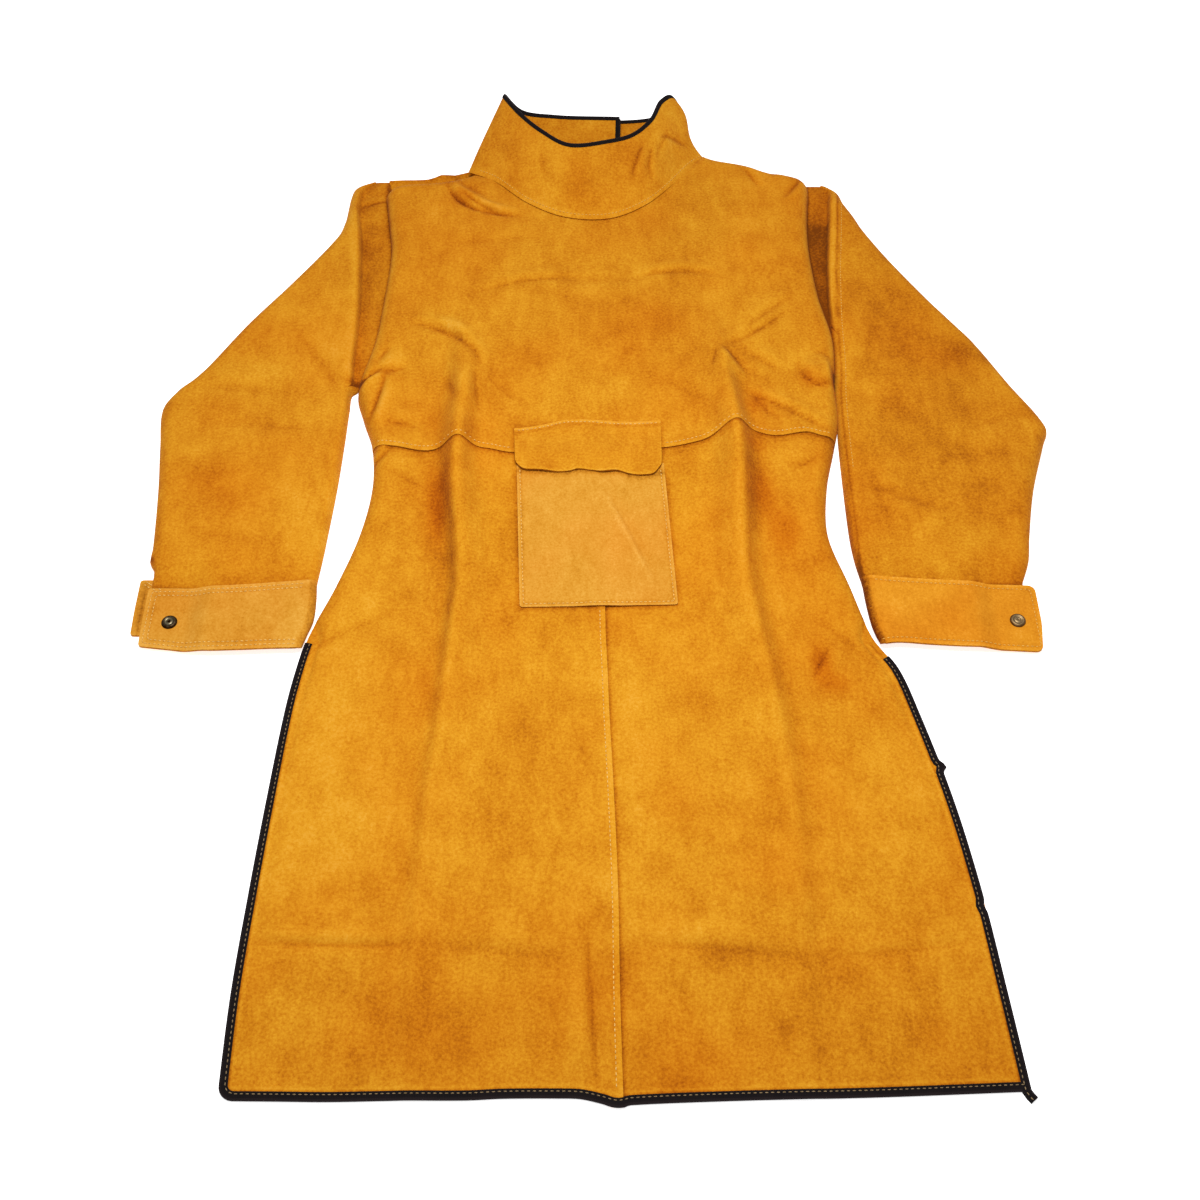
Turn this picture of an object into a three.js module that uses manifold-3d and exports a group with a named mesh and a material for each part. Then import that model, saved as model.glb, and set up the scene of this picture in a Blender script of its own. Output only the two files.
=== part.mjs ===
import * as THREE from "three";
import { mergeVertices } from "three/addons/utils/BufferGeometryUtils.js";
import Module from "manifold-3d";

// Sleeved welding apron of split cowhide, lying on its back with the front up.
// X runs across the garment, Y from the hem up to the collar, Z up from the floor, in millimetres.

// Walls and seams
const LEATHER = 2;
const CUFF_WALL = 2.6;
const GAP = 0.4;
const FLOOR_MID = LEATHER / 2;
const ROLL = 14;
const SHOULDER_ROLL = 16;

// Black folded tape
const TAPE = 0.8;
const TAPE_GAP = 0.3;
const TAPE_WIDTH = 9;
const TAPE_TAIL = 8;
const TAPE_BULGE = 1.2;
const TAPE_END = { from: 432, to: 462 };
const TAPE_STRIP = 13.5;

// The two soft folds that run down from the waist darts, steeper towards the sides
const FOLD_OUTER = 15;
const FOLD_INNER = 26;

// Rows of numbers under named columns
const table = (columns, rows) =>
  rows.map((row) => Object.fromEntries(columns.map((name, i) => [name, row[i]])));

// Sections across the front, from the hem up: edges, fold lines, centre seam and heights
const FRONT = table(
  ["y", "left", "foldLeft", "centre", "foldRight", "right", "level", "rise", "edge"],
  [
    [0, -299, -152, 17, 167, 338, 2.2, 0, 2.2],
    [90, -299, -153, 15, 168, 331, 2.4, 2, 2.2],
    [180, -298, -155, 14, 173, 323, 2.7, 3, 2.2],
    [270, -294, -159, 11, 174, 311, 3.2, 5, 2.2],
    [360, -289, -160, 7, 169, 291, 4.2, 7, 2.4],
    [440, -278, -153, 4, 164, 259, 7, 11, 2.8],
    [530, -246, -145, 3, 152, 234, 11, 16, 2.8],
    [600, -233, -144, 2, 145, 226, 14.5, 20, 2.8],
    [675, -233, -146, 2, 143, 241, 18, 23, 2.8],
    [750, -254, -147, 2, 135, 251, 20, 13, 2.8],
    [820, -244, -148, 2, 127, 254, 22, 4, 8],
    [887, -244, -149, 2, 124, 247, 23, 0, 10],
    [960, -241, -150, 2, 124, 240, 25, 0, 10.5],
    [1060, -252, -150, 2, 124, 246, 25.5, 0, 10.5],
  ],
);

// Lower edge, waist seam and neckline of the front
const HEM = table(
  ["x", "y"],
  [
    [-299, 5],
    [-150, 6],
    [-60, 9],
    [-18, 8],
    [12, 2],
    [60, 5],
    [150, 9],
    [338, 13],
  ],
);
const WAIST = table(
  ["x", "y"],
  [
    [-234, 672],
    [-175, 664],
    [-90, 658],
    [64, 665],
    [144, 683],
    [242, 680],
  ],
);
const NECKLINE = table(
  ["x", "y"],
  [
    [-150, 1080],
    [-109, 1059],
    [-60, 1028],
    [0, 1006],
    [51, 1023],
    [88, 1066],
    [124, 1116],
  ],
);
const SHOULDERS = { leftTip: 1048, rightTip: 1068, edge: 10.5, blend: 30 };

// Hidden back: the edges of its opening, and its shoulders and neckline
const BACK = table(
  ["y", "left", "right"],
  [
    [472, -240, 222],
    [530, -205, 190],
    [600, -165, 150],
    [700, -115, 105],
    [800, -60, 55],
    [900, -12, 5],
    [960, 15, -18],
    [1098, 22, -30],
  ],
);
const BACK_TOP = table(
  ["x", "y"],
  [
    [-254, 1052],
    [-150, 1091],
    [-100, 1098],
    [0, 1098],
    [60, 1103],
    [124, 1119],
    [248, 1070],
  ],
);
const BACK_LAP = { from: 730, to: 905, start: -120, full: -75, lift: 5 };
const BACK_SHOULDER_RISE = 6.5;
const BACK_TAPE = { from: 520, to: 1096, level: 14.4, eased: 27 };

// Sections across each sleeve, from the cuff up: inner edge, pleat beside the armhole, outer edge, heights
const SLEEVE_COLUMNS = ["y", "inner", "band", "outer", "level", "edge"];
const SLEEVE_LEFT = table(SLEEVE_COLUMNS, [
  [502, -279, 0, -441, 11, 2.8],
  [560, -271, 0, -444, 12.5, 2.8],
  [620, -267, 0, -450, 14, 2.8],
  [680, -265, 0, -459, 15, 2.8],
  [727, -262, 2, -464, 15, 2.8],
  [785, -253, 13, -431, 15, 4.5],
  [850, -240, 24, -395, 16, 6],
  [915, -239, 31, -354, 17, 6],
  [990, -238, 42, -311, 17, 6],
  [1040, -250, 40, -296, 16, 5],
  [1066, -276, 13, -291, 6, 3.4],
]);
const SLEEVE_RIGHT = table(SLEEVE_COLUMNS, [
  [502, 259, 0, 412, 11, 2.8],
  [560, 249.5, 0, 426, 12.5, 2.8],
  [620, 248.5, 0, 441, 14, 2.8],
  [680, 249.5, 0, 462, 15, 2.8],
  [698, 251, 0, 466, 15, 2.8],
  [760, 257, 0, 443, 15, 2.8],
  [820, 258, 4, 411, 16, 4.5],
  [887, 243, 18, 372, 17, 6],
  [950, 236, 30, 336, 18, 6],
  [1000, 234, 37, 310, 18, 6],
  [1050, 244, 33, 291, 16, 5],
  [1072, 268, 13, 286, 6, 3.4],
]);
const PLEAT = { foot: 0.62, columns: 0.3, least: 10, from: 2, full: 12 };

// Cuffs: the inner fold, the free ends of both plies, the edges, the lean and the snap's place
const CUFF_LEFT = {
  fold: -283,
  upperEnd: -439,
  underEnd: -449,
  bottom: 430,
  top: 501.2,
  lean: 0.04,
  snap: [-411, 455],
};
const CUFF_RIGHT = {
  fold: 266,
  upperEnd: 419,
  underEnd: 416,
  bottom: 428,
  top: 501.2,
  lean: -0.04,
  snap: [399, 457],
};
const CUFF_PLIES = { upper: 11, pinchedUpper: 5.6, pinchedUnder: 2.5, flat: 40, open: 66, share: 0.45 };

// Snap fasteners: a dished cap, a post through both plies and a flange under them
const SNAP = {
  cap: 7.5,
  rim: 5.6,
  rimHeight: 1.1,
  capHeight: 2.8,
  dish: 3,
  dishFloor: 2.4,
  dishDepth: 0.7,
  post: 2.6,
  flange: 5,
  flangeHeight: 0.8,
};

// Collar sections, from the upper end of the lap by the left, the front and the right to the under end
const COLLAR = table(
  ["baseX", "baseY", "baseZ", "rimX", "rimY", "rimZ"],
  [
    [22, 1100, 7.2, 24, 1186, 27],
    [-60, 1100, 4.6, -55, 1187, 28],
    [-118, 1099, 9, -99, 1188, 40],
    [-146, 1086, 21, -113, 1185, 55],
    [-109, 1054, 29, -101, 1155, 59],
    [-60, 1022, 29.5, -70, 1113, 61],
    [0, 1000, 30, -18, 1094, 61],
    [51, 1018, 29.5, 29, 1107, 61],
    [90, 1064, 28.5, 60, 1141, 59],
    [122, 1114, 21, 87, 1185, 55],
    [95, 1116, 9, 78, 1184, 38],
    [40, 1105, 2, 50, 1183, 20],
    [-30, 1101, 1.4, -30, 1183, 15],
  ],
);

// Patch pocket and the flap that covers its mouth
const POUCH = {
  topLeft: [-83, 643],
  topRight: [65, 643],
  bottomLeft: [-75, 471],
  bottomRight: [75, 474],
  puff: 1.5,
};
const FLAP = {
  topLeft: [-89, 686],
  topRight: [63, 695],
  bottomLeft: [-86, 634],
  bottomRight: [63, 630],
  corner: 12,
};
const FLAP_STEP = { from: 645, to: 668 };
const PATCH_GAP = 1.6;

// Facets, with columns and rows crowded towards rolled edges
const CROWD_ENDS = 0.5;
const CROWD_FAR = 0.6;
const BODICE_GRID = { columns: 24, rows: 12 };
const SKIRT_GRID = { columns: 12, rows: 16, hipRow: 10 };
const BACK_GRID = { columns: 8, rows: 14 };
const SLEEVE_GRID = { columns: 10, rows: 14 };
const UNDER_SLEEVE_GRID = { columns: 3, rows: 12 };
const CUFF_GRID = { columns: 20, rows: 2 };
const COLLAR_GRID = { columns: 36, rows: 4 };
const POUCH_GRID = { columns: 8, rows: 8 };
const FLAP_GRID = { columns: 10, rows: 4 };
const SNAP_SIDES = 16;
const HOLE_LENGTH = 40;

// Finishes
const suede = () => new THREE.MeshStandardMaterial({ color: "#d78b21", roughness: 0.92, metalness: 0 });
const paleSuede = () => new THREE.MeshStandardMaterial({ color: "#e69f37", roughness: 0.92, metalness: 0 });
const blackTape = () => new THREE.MeshStandardMaterial({ color: "#251a1d", roughness: 0.85, metalness: 0 });
const agedBrass = () => new THREE.MeshStandardMaterial({ color: "#7d6a48", roughness: 0.4, metalness: 1 });

const { clamp, lerp, smoothstep } = THREE.MathUtils;

// Value of a table's column at a place along it, on a smooth line through the rows
function at(rows, column, place, along = "y") {
  const last = rows.length - 1;
  const next = rows.findIndex((row) => row[along] > place);
  const i = clamp(next < 0 ? last - 1 : next - 1, 0, last - 1);
  const row = (k) => rows[clamp(k, 0, last)];
  const slope = (k) => (row(k + 1)[column] - row(k - 1)[column]) / (row(k + 1)[along] - row(k - 1)[along]);
  const span = row(i + 1)[along] - row(i)[along];
  const t = clamp((place - row(i)[along]) / span, 0, 1);
  const stay = (1 + 2 * t) * (1 - t) ** 2 * row(i)[column];
  const reach = t ** 2 * (3 - 2 * t) * row(i + 1)[column];
  return stay + reach + span * t * (1 - t) * ((1 - t) * slope(i) - t * slope(i + 1));
}

// Height share of an edge that rolls over like a quarter of an ellipse
const rolled = (share) => Math.sqrt(1 - (1 - clamp(share, 0, 1)) ** 2);

// Spacings that crowd columns towards both ends, or rows towards the far end
const crowdEnds = (t) => t - (CROWD_ENDS * Math.sin(2 * Math.PI * t)) / (2 * Math.PI);
const crowdFar = (t) => t + (CROWD_FAR * Math.sin(Math.PI * t)) / Math.PI;

// A block of columns, rows and one layer, each corner moved to its place on the piece
function bend(columns, rows, place) {
  const block = new THREE.BoxGeometry(1, 1, 1, columns, rows, 1);
  const corners = block.getAttribute("position");
  for (let i = 0; i < corners.count; i++) {
    const u = Math.round((corners.getX(i) + 0.5) * columns) / columns;
    const v = Math.round((corners.getY(i) + 0.5) * rows) / rows;
    const point = place(u, v, Math.sign(corners.getZ(i)));
    corners.setXYZ(i, point.x, point.y, point.z);
  }
  return merged(block);
}

// Geometry with only its places left and its shared corners joined
function merged(geometry) {
  geometry.deleteAttribute("normal");
  geometry.deleteAttribute("uv");
  return mergeVertices(geometry);
}

// Unit normal of a surface given as a function of u and v
function normalAt(surface, u, v) {
  const step = 1e-4;
  const across = surface(Math.min(u + step, 1), v).sub(surface(Math.max(u - step, 0), v));
  const up = surface(u, Math.min(v + step, 1)).sub(surface(u, Math.max(v - step, 0)));
  return across.cross(up).normalize();
}

// A wall of even thickness whose middle follows the surface
function wall(surface, grid, thickness = LEATHER) {
  return bend(grid.columns, grid.rows, (u, v, side) =>
    surface(u, v).addScaledVector(normalAt(surface, u, v), (side * thickness) / 2),
  );
}

function piece(name, geometry, material) {
  geometry.computeVertexNormals();
  const mesh = new THREE.Mesh(geometry, material);
  mesh.name = name;
  return mesh;
}

const wasm = await Module();
wasm.setup();

function solid(geometry) {
  const vertProperties = geometry.getAttribute("position").array;
  const triVerts = new Uint32Array(geometry.index.array);
  return new wasm.Manifold(new wasm.Mesh({ numProp: 3, vertProperties, triVerts }));
}

// The first shape with the second cut out of it
function cut(geometry, tool) {
  const mesh = solid(geometry).subtract(solid(tool)).getMesh();
  const rest = new THREE.BufferGeometry();
  rest.setAttribute("position", new THREE.BufferAttribute(mesh.vertProperties, 3));
  rest.setIndex(new THREE.BufferAttribute(mesh.triVerts, 1));
  return rest;
}

// Share of a soft fold's height at a distance from its line, positive towards the side of the garment
function foldShare(distance) {
  const width = distance > 0 ? FOLD_OUTER : FOLD_INNER;
  return Math.exp(-((distance / width) ** 2));
}

const neckLeft = NECKLINE[0];
const neckRight = NECKLINE[NECKLINE.length - 1];
const shoulderRow = FRONT[FRONT.length - 1];

// Upper limit of the bodice at a place across it
function bodiceTop(x) {
  if (x < neckLeft.x) {
    return lerp(SHOULDERS.leftTip, neckLeft.y, (x - shoulderRow.left) / (neckLeft.x - shoulderRow.left));
  }
  if (x > neckRight.x) {
    return lerp(neckRight.y, SHOULDERS.rightTip, (x - neckRight.x) / (shoulderRow.right - neckRight.x));
  }
  return at(NECKLINE, "y", x, "x");
}

// Share of shoulder, from 0 along the neckline to 1 along the shoulders
function shoulderShare(x) {
  const left = smoothstep(neckLeft.x - x, -SHOULDERS.blend, SHOULDERS.blend);
  const right = smoothstep(x - neckRight.x, -SHOULDERS.blend, SHOULDERS.blend);
  return Math.max(left, right);
}

// Height of the front's middle layer above the floor
function frontHeight(x, y) {
  const folds = foldShare(at(FRONT, "foldLeft", y) - x) + foldShare(x - at(FRONT, "foldRight", y));
  const full = at(FRONT, "level", y) + at(FRONT, "rise", y) * folds;
  const bound = TAPE_STRIP * (1 - smoothstep(y, TAPE_END.from, TAPE_END.to));
  const inside = Math.min(x - at(FRONT, "left", y), at(FRONT, "right", y) - x) - bound;
  const edge = at(FRONT, "edge", y);
  const sided = edge + (full - edge) * rolled(inside / ROLL);
  const above = Math.max(sided - SHOULDERS.edge, 0) * rolled((bodiceTop(x) - y) / SHOULDER_ROLL);
  return lerp(sided, Math.min(SHOULDERS.edge + above, sided), shoulderShare(x));
}

// Place across the front at a share of the way through its lines, with columns crowded at each line
function frontPlace(lines, u, y) {
  const strips = lines.length - 1;
  const strip = Math.min(Math.floor(u * strips), strips - 1);
  return lerp(at(FRONT, lines[strip], y), at(FRONT, lines[strip + 1], y), crowdEnds(u * strips - strip));
}

// Half of the skirt from the hem to the waist seam, between its side edge, its fold and the centre seam
function skirtSurface(lines) {
  return (u, v) => {
    const low = at(HEM, "y", frontPlace(lines, u, HEM[0].y), "x");
    const high = at(WAIST, "y", frontPlace(lines, u, WAIST[0].y), "x") - GAP / 2;
    const y = lerp(low, high, v);
    const x = frontPlace(lines, u, y);
    const fromSeam = lines[2] === "centre" ? -u : 1 - u;
    return new THREE.Vector3(x + (fromSeam * GAP) / 2, y, frontHeight(x, y));
  };
}

// Front from the waist seam to the shoulders and the neckline
function bodiceSurface(u, v) {
  const lines = ["left", "foldLeft", "centre", "foldRight", "right"];
  const low = at(WAIST, "y", frontPlace(lines, u, WAIST[0].y), "x") + GAP / 2;
  const high = bodiceTop(frontPlace(lines, u, shoulderRow.y));
  const y = lerp(low, high, crowdFar(v));
  const x = frontPlace(lines, u, y);
  return new THREE.Vector3(x, y, frontHeight(x, y));
}

// Hidden back panel, flat on the floor, its opening edge lifted for the tape and its shoulder turned up
function backSurface(line) {
  const lap = line === "left" ? BACK_LAP.lift : 0;
  return (u, v) => {
    const across = (y) => lerp(at(FRONT, line, y), at(BACK, line, y), crowdEnds(u));
    const top = at(BACK_TOP, "y", across(BACK_TAPE.to), "x");
    const y = lerp(BACK[0].y, top, crowdFar(v));
    const x = across(y);
    const lapped = smoothstep(y, BACK_LAP.from, BACK_LAP.to) * smoothstep(x, BACK_LAP.start, BACK_LAP.full);
    const inside = Math.abs(at(BACK, line, y) - x);
    const lifted = 1 - smoothstep(inside, BACK_TAPE.level, BACK_TAPE.eased);
    const turned = shoulderShare(x) * (1 - clamp((top - y) / SHOULDER_ROLL, 0, 1)) ** 2;
    const z = FLOOR_MID + lap * lapped + (TAPE + TAPE_GAP) * lifted + BACK_SHOULDER_RISE * turned;
    return new THREE.Vector3(x, y, z);
  };
}

// Lower limit of a sleeve, which follows its leaning cuff
function sleeveBottom(cuff, x) {
  return cuff.top + GAP + cuff.lean * (x - (cuff.fold + cuff.upperEnd) / 2);
}

// Upper panel of a sleeve: a pleat beside the armhole, then a flat top that rolls over at the outer edge
function sleeveSurface(rows, cuff) {
  const side = Math.sign(cuff.fold);
  return (u, v) => {
    const section = (y) => {
      const inner = at(rows, "inner", y);
      const width = Math.abs(at(rows, "outer", y) - inner);
      const band = at(rows, "band", y);
      const pleat = Math.max(band, PLEAT.least);
      const rest = crowdFar(Math.max(u - PLEAT.columns, 0) / (1 - PLEAT.columns));
      const reach = pleat * Math.min(u / PLEAT.columns, 1) + (width - pleat) * rest;
      return { width, band, share: reach / pleat, reach, x: inner + side * reach };
    };
    const low = sleeveBottom(cuff, section(rows[0].y).x);
    const y = lerp(low, rows[rows.length - 1].y, crowdFar(v));
    const { width, band, share, reach, x } = section(y);
    const pleated = smoothstep(band, PLEAT.from, PLEAT.full);
    const inner = lerp(rolled(share), smoothstep(share, PLEAT.foot, 1), pleated);
    const edge = at(rows, "edge", y);
    const raised = edge + (at(rows, "level", y) - edge) * inner;
    const outerEdge = rows[0].edge;
    return new THREE.Vector3(x, y, outerEdge + (raised - outerEdge) * rolled((width - reach) / ROLL));
  };
}

// Under panel of a sleeve, flat on the floor and clear of the back panel beside it
function underSleeveSurface(rows, cuff, line) {
  const side = Math.sign(cuff.fold);
  const across = (y, u) => {
    const inner = Math.max(Math.abs(at(rows, "inner", y)), Math.abs(at(FRONT, line, y)) + 2 * GAP);
    return side * lerp(inner, Math.abs(at(rows, "outer", y)), u);
  };
  return (u, v) => {
    const y = lerp(sleeveBottom(cuff, across(rows[0].y, u)), rows[rows.length - 1].y, v);
    return new THREE.Vector3(across(y, u), y, FLOOR_MID);
  };
}

// Cuff band: upper ply, turn at the inner fold, under ply, both plies pinched together at the snap
function cuffSurface(cuff) {
  const side = Math.sign(cuff.fold);
  const floorPly = (CUFF_WALL + GAP) / 2;
  const radius = (CUFF_PLIES.upper - floorPly) / 2;
  const turn = cuff.fold + side * radius;
  const opened = (x) => smoothstep(Math.abs(x - cuff.upperEnd), CUFF_PLIES.flat, CUFF_PLIES.open);
  const section = (u) => {
    if (u <= CUFF_PLIES.share) {
      const x = lerp(cuff.upperEnd, turn, u / CUFF_PLIES.share);
      return [x, lerp(CUFF_PLIES.pinchedUpper, CUFF_PLIES.upper, opened(x))];
    }
    if (u >= 1 - CUFF_PLIES.share) {
      const x = lerp(cuff.underEnd, turn, (1 - u) / CUFF_PLIES.share);
      return [x, lerp(CUFF_PLIES.pinchedUnder, floorPly, opened(x))];
    }
    const angle = (Math.PI * (u - CUFF_PLIES.share)) / (1 - 2 * CUFF_PLIES.share);
    return [turn - side * radius * Math.sin(angle), floorPly + radius * (1 + Math.cos(angle))];
  };
  return (u, v) => {
    const [x, z] = section(u);
    const lean = cuff.lean * (x - (cuff.fold + cuff.upperEnd) / 2);
    return new THREE.Vector3(x, lerp(cuff.bottom, cuff.top, v) + lean, z);
  };
}

// Cuff wall with the hole for the snap's post through both plies
function cuffWall(cuff) {
  const radius = SNAP.post + GAP;
  const hole = new THREE.CylinderGeometry(radius, radius, HOLE_LENGTH, SNAP_SIDES);
  hole.rotateX(Math.PI / 2).translate(...cuff.snap, 0);
  return cut(wall(cuffSurface(cuff), CUFF_GRID, CUFF_WALL), merged(hole));
}

// Snap fastener turned round its own axis, from the flange on the floor to the dished cap
function snapBody(cuff) {
  const seat = CUFF_PLIES.pinchedUpper + CUFF_WALL / 2 + GAP;
  const crown = seat + SNAP.capHeight;
  const profile = [
    [0, 0],
    [SNAP.flange, 0],
    [SNAP.flange, SNAP.flangeHeight],
    [SNAP.post, SNAP.flangeHeight],
    [SNAP.post, seat],
    [SNAP.cap, seat],
    [SNAP.cap, seat + SNAP.rimHeight],
    [SNAP.rim, crown],
    [SNAP.dish, crown],
    [SNAP.dishFloor, crown - SNAP.dishDepth],
    [0, crown - SNAP.dishDepth],
  ];
  const points = profile.map(([radius, height]) => new THREE.Vector2(radius, height));
  const body = new THREE.LatheGeometry(points, SNAP_SIDES);
  return merged(body.rotateX(Math.PI / 2).translate(...cuff.snap, 0));
}

// Collar band between its base on the neckline and its rim
function collarLine(end) {
  const points = COLLAR.map((row) => new THREE.Vector3(row[end + "X"], row[end + "Y"], row[end + "Z"]));
  return new THREE.CatmullRomCurve3(points);
}
const collarBase = collarLine("base");
const collarRim = collarLine("rim");
const collarPlace = (u, share) => collarBase.getPoint(u).lerp(collarRim.getPoint(u), share);
const collarSurface = (u, v) => collarPlace(u, crowdFar(v));

// Tape folded over an edge: place gives the point at a step along it, a reach into the leather and a height
function tapeOver(steps, place) {
  const near = LEATHER / 2 + TAPE_GAP;
  const far = near + TAPE;
  const section = [
    { inside: [TAPE_WIDTH, near], outside: [TAPE_WIDTH, far] },
    { inside: [-TAPE_GAP, near], outside: [-TAPE_GAP, far] },
    { inside: [-TAPE_GAP, 0], outside: [-TAPE_GAP - TAPE_BULGE, 0] },
    { inside: [-TAPE_GAP, -near], outside: [-TAPE_GAP, -far] },
    { inside: [TAPE_WIDTH, -near], outside: [TAPE_WIDTH, -far] },
  ];
  return bend(section.length - 1, steps, (u, v, side) => {
    const row = section[Math.round(u * (section.length - 1))];
    return place(Math.round(v * steps), ...(side > 0 ? row.outside : row.inside));
  });
}

// Tape over a level edge that the points follow, with the leather on their left
function levelTape(points) {
  const last = points.length - 1;
  const left = (from) => {
    const along = points[from + 1].clone().sub(points[from]);
    return new THREE.Vector3(-along.y, along.x, 0).normalize();
  };
  return tapeOver(last, (i, reach, height) => {
    const before = left(Math.max(i - 1, 0));
    const after = left(Math.min(i, last - 1));
    const inward = before.clone().add(after).divideScalar(1 + before.dot(after));
    const point = points[i].clone().addScaledVector(inward, reach);
    return point.setZ(points[i].z + height);
  });
}

// Whole numbers from the first to the last, both included
function stops(first, last) {
  const step = Math.sign(last - first);
  return Array.from({ length: Math.abs(last - first) + 1 }, (_, i) => first + i * step);
}

const skirtLeft = skirtSurface(["left", "foldLeft", "centre"]);
const skirtRight = skirtSurface(["centre", "foldRight", "right"]);
const backLeft = backSurface("left");
const backRight = backSurface("right");

// Tape down the left side and along the hem
function leftBinding() {
  const { columns, rows, hipRow } = SKIRT_GRID;
  const side = stops(hipRow, 0).map((row) => skirtLeft(0, row / rows));
  const leftHem = stops(1, columns).map((column) => skirtLeft(column / columns, 0));
  const rightHem = stops(1, columns - 1).map((column) => skirtRight(column / columns, 0));
  return levelTape([...side, ...leftHem, ...rightHem]);
}

// Tape up the right side, with a short tail past the hem
function rightBinding() {
  const { rows, hipRow } = SKIRT_GRID;
  const side = stops(0, hipRow).map((row) => skirtRight(1, row / rows));
  const tail = side[0].clone().setY(side[0].y - TAPE_TAIL);
  return levelTape([tail, ...side]);
}

// Tape on one edge of the back opening, between the hip and the neck
function backBinding(surface) {
  const edge = stops(0, BACK_GRID.rows).map((row) => surface(1, row / BACK_GRID.rows));
  const held = edge.filter((point) => point.y > BACK_TAPE.from && point.y < BACK_TAPE.to);
  return levelTape(surface === backLeft ? held : held.reverse());
}

// Tape along the collar's rim
function collarBinding() {
  const { columns } = COLLAR_GRID;
  return tapeOver(columns, (i, reach, height) => {
    const u = i / columns;
    const v = 1 - reach / collarBase.getPoint(u).distanceTo(collarRim.getPoint(u));
    const normal = normalAt(collarSurface, u, Math.min(v, 1));
    return collarPlace(u, v).addScaledVector(normal, -height);
  });
}

// Place on a four-cornered patch
function patchPlace(patch, u, v) {
  const across = (left, right, axis) => lerp(patch[left][axis], patch[right][axis], u);
  const low = (axis) => across("bottomLeft", "bottomRight", axis);
  const high = (axis) => across("topLeft", "topRight", axis);
  return [lerp(low(0), high(0), v), lerp(low(1), high(1), v)];
}

// Pouch stitched to the skirt, a little full in the middle
function pouchSurface(u, v) {
  const [x, y] = patchPlace(POUCH, u, v);
  const puff = POUCH.puff * Math.sin(Math.PI * u) * Math.sin(Math.PI * v);
  return new THREE.Vector3(x, y, frontHeight(x, y) + LEATHER + PATCH_GAP + puff);
}

// Flap across the waist seam, over the pouch's mouth, with rounded lower corners
function flapSurface(u, v) {
  const across = crowdEnds(u);
  const width = FLAP.bottomRight[0] - FLAP.bottomLeft[0];
  const fromEnd = Math.min(across, 1 - across) * width;
  const short = Math.max(FLAP.corner - fromEnd, 0);
  const rise = FLAP.corner - Math.sqrt(FLAP.corner ** 2 - short ** 2);
  const [x, flat] = patchPlace(FLAP, across, v);
  const y = flat + rise * (1 - v);
  const layers = 2 - smoothstep(y, FLAP_STEP.from, FLAP_STEP.to);
  return new THREE.Vector3(x, y, frontHeight(x, y) + layers * (LEATHER + PATCH_GAP));
}

const sleeves = { left: [SLEEVE_LEFT, CUFF_LEFT], right: [SLEEVE_RIGHT, CUFF_RIGHT] };

const garment = new THREE.Group();
garment.add(
  piece("bodice_front", wall(bodiceSurface, BODICE_GRID), suede()),
  piece("skirt_left", wall(skirtLeft, SKIRT_GRID), suede()),
  piece("skirt_right", wall(skirtRight, SKIRT_GRID), suede()),
  piece("back_left", wall(backLeft, BACK_GRID), suede()),
  piece("back_right", wall(backRight, BACK_GRID), suede()),
  piece("collar", wall(collarSurface, COLLAR_GRID), suede()),
  piece("pocket_pouch", wall(pouchSurface, POUCH_GRID), paleSuede()),
  piece("pocket_flap", wall(flapSurface, FLAP_GRID), suede()),
  piece("binding_left", leftBinding(), blackTape()),
  piece("binding_right", rightBinding(), blackTape()),
  piece("back_binding_left", backBinding(backLeft), blackTape()),
  piece("back_binding_right", backBinding(backRight), blackTape()),
  piece("collar_binding", collarBinding(), blackTape()),
);
for (const [line, [rows, cuff]] of Object.entries(sleeves)) {
  garment.add(
    piece(`sleeve_${line}_upper`, wall(sleeveSurface(rows, cuff), SLEEVE_GRID), suede()),
    piece(`sleeve_${line}_under`, wall(underSleeveSurface(rows, cuff, line), UNDER_SLEEVE_GRID), suede()),
    piece(`cuff_${line}`, cuffWall(cuff), paleSuede()),
    piece(`snap_${line}`, snapBody(cuff), agedBrass()),
  );
}

// The part's origin is under the middle of the garment, on the floor
const extent = new THREE.Box3().setFromObject(garment);
const middle = extent.getCenter(new THREE.Vector3());
garment.position.set(-middle.x, -middle.y, -extent.min.z);

const apron = new THREE.Group();
apron.add(garment);

export default apron;
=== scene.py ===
"""Sleeved welding apron of golden split cowhide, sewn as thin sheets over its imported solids."""

import math

import bmesh
import bpy
import numpy as np
from bpy.props import FloatProperty, FloatVectorProperty, PointerProperty
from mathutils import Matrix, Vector
from mathutils.bvhtree import BVHTree


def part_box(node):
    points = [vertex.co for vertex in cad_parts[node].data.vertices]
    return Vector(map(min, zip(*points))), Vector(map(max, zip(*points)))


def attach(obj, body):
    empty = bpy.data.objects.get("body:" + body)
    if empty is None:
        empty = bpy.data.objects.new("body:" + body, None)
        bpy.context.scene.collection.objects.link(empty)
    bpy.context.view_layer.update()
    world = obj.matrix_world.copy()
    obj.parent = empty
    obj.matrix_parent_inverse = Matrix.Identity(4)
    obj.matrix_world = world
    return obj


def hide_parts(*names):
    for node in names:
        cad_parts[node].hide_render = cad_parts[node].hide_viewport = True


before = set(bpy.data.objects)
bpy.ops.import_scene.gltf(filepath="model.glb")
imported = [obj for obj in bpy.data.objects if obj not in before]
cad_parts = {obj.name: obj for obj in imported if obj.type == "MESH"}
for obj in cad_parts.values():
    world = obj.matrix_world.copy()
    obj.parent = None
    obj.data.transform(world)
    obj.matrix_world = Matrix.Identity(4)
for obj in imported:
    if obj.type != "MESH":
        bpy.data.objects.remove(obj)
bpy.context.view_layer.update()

bl_info = {
    "name": "Sleeved Welding Apron",
    "version": (1, 0, 0),
    "blender": (4, 5, 0),
    "location": "3D View > Sidebar > Apron",
    "description": "Sews a split-cowhide welding apron with sleeves, taped edges, stitches and snaps",
    "category": "Object",
}

MM = 0.001


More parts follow.
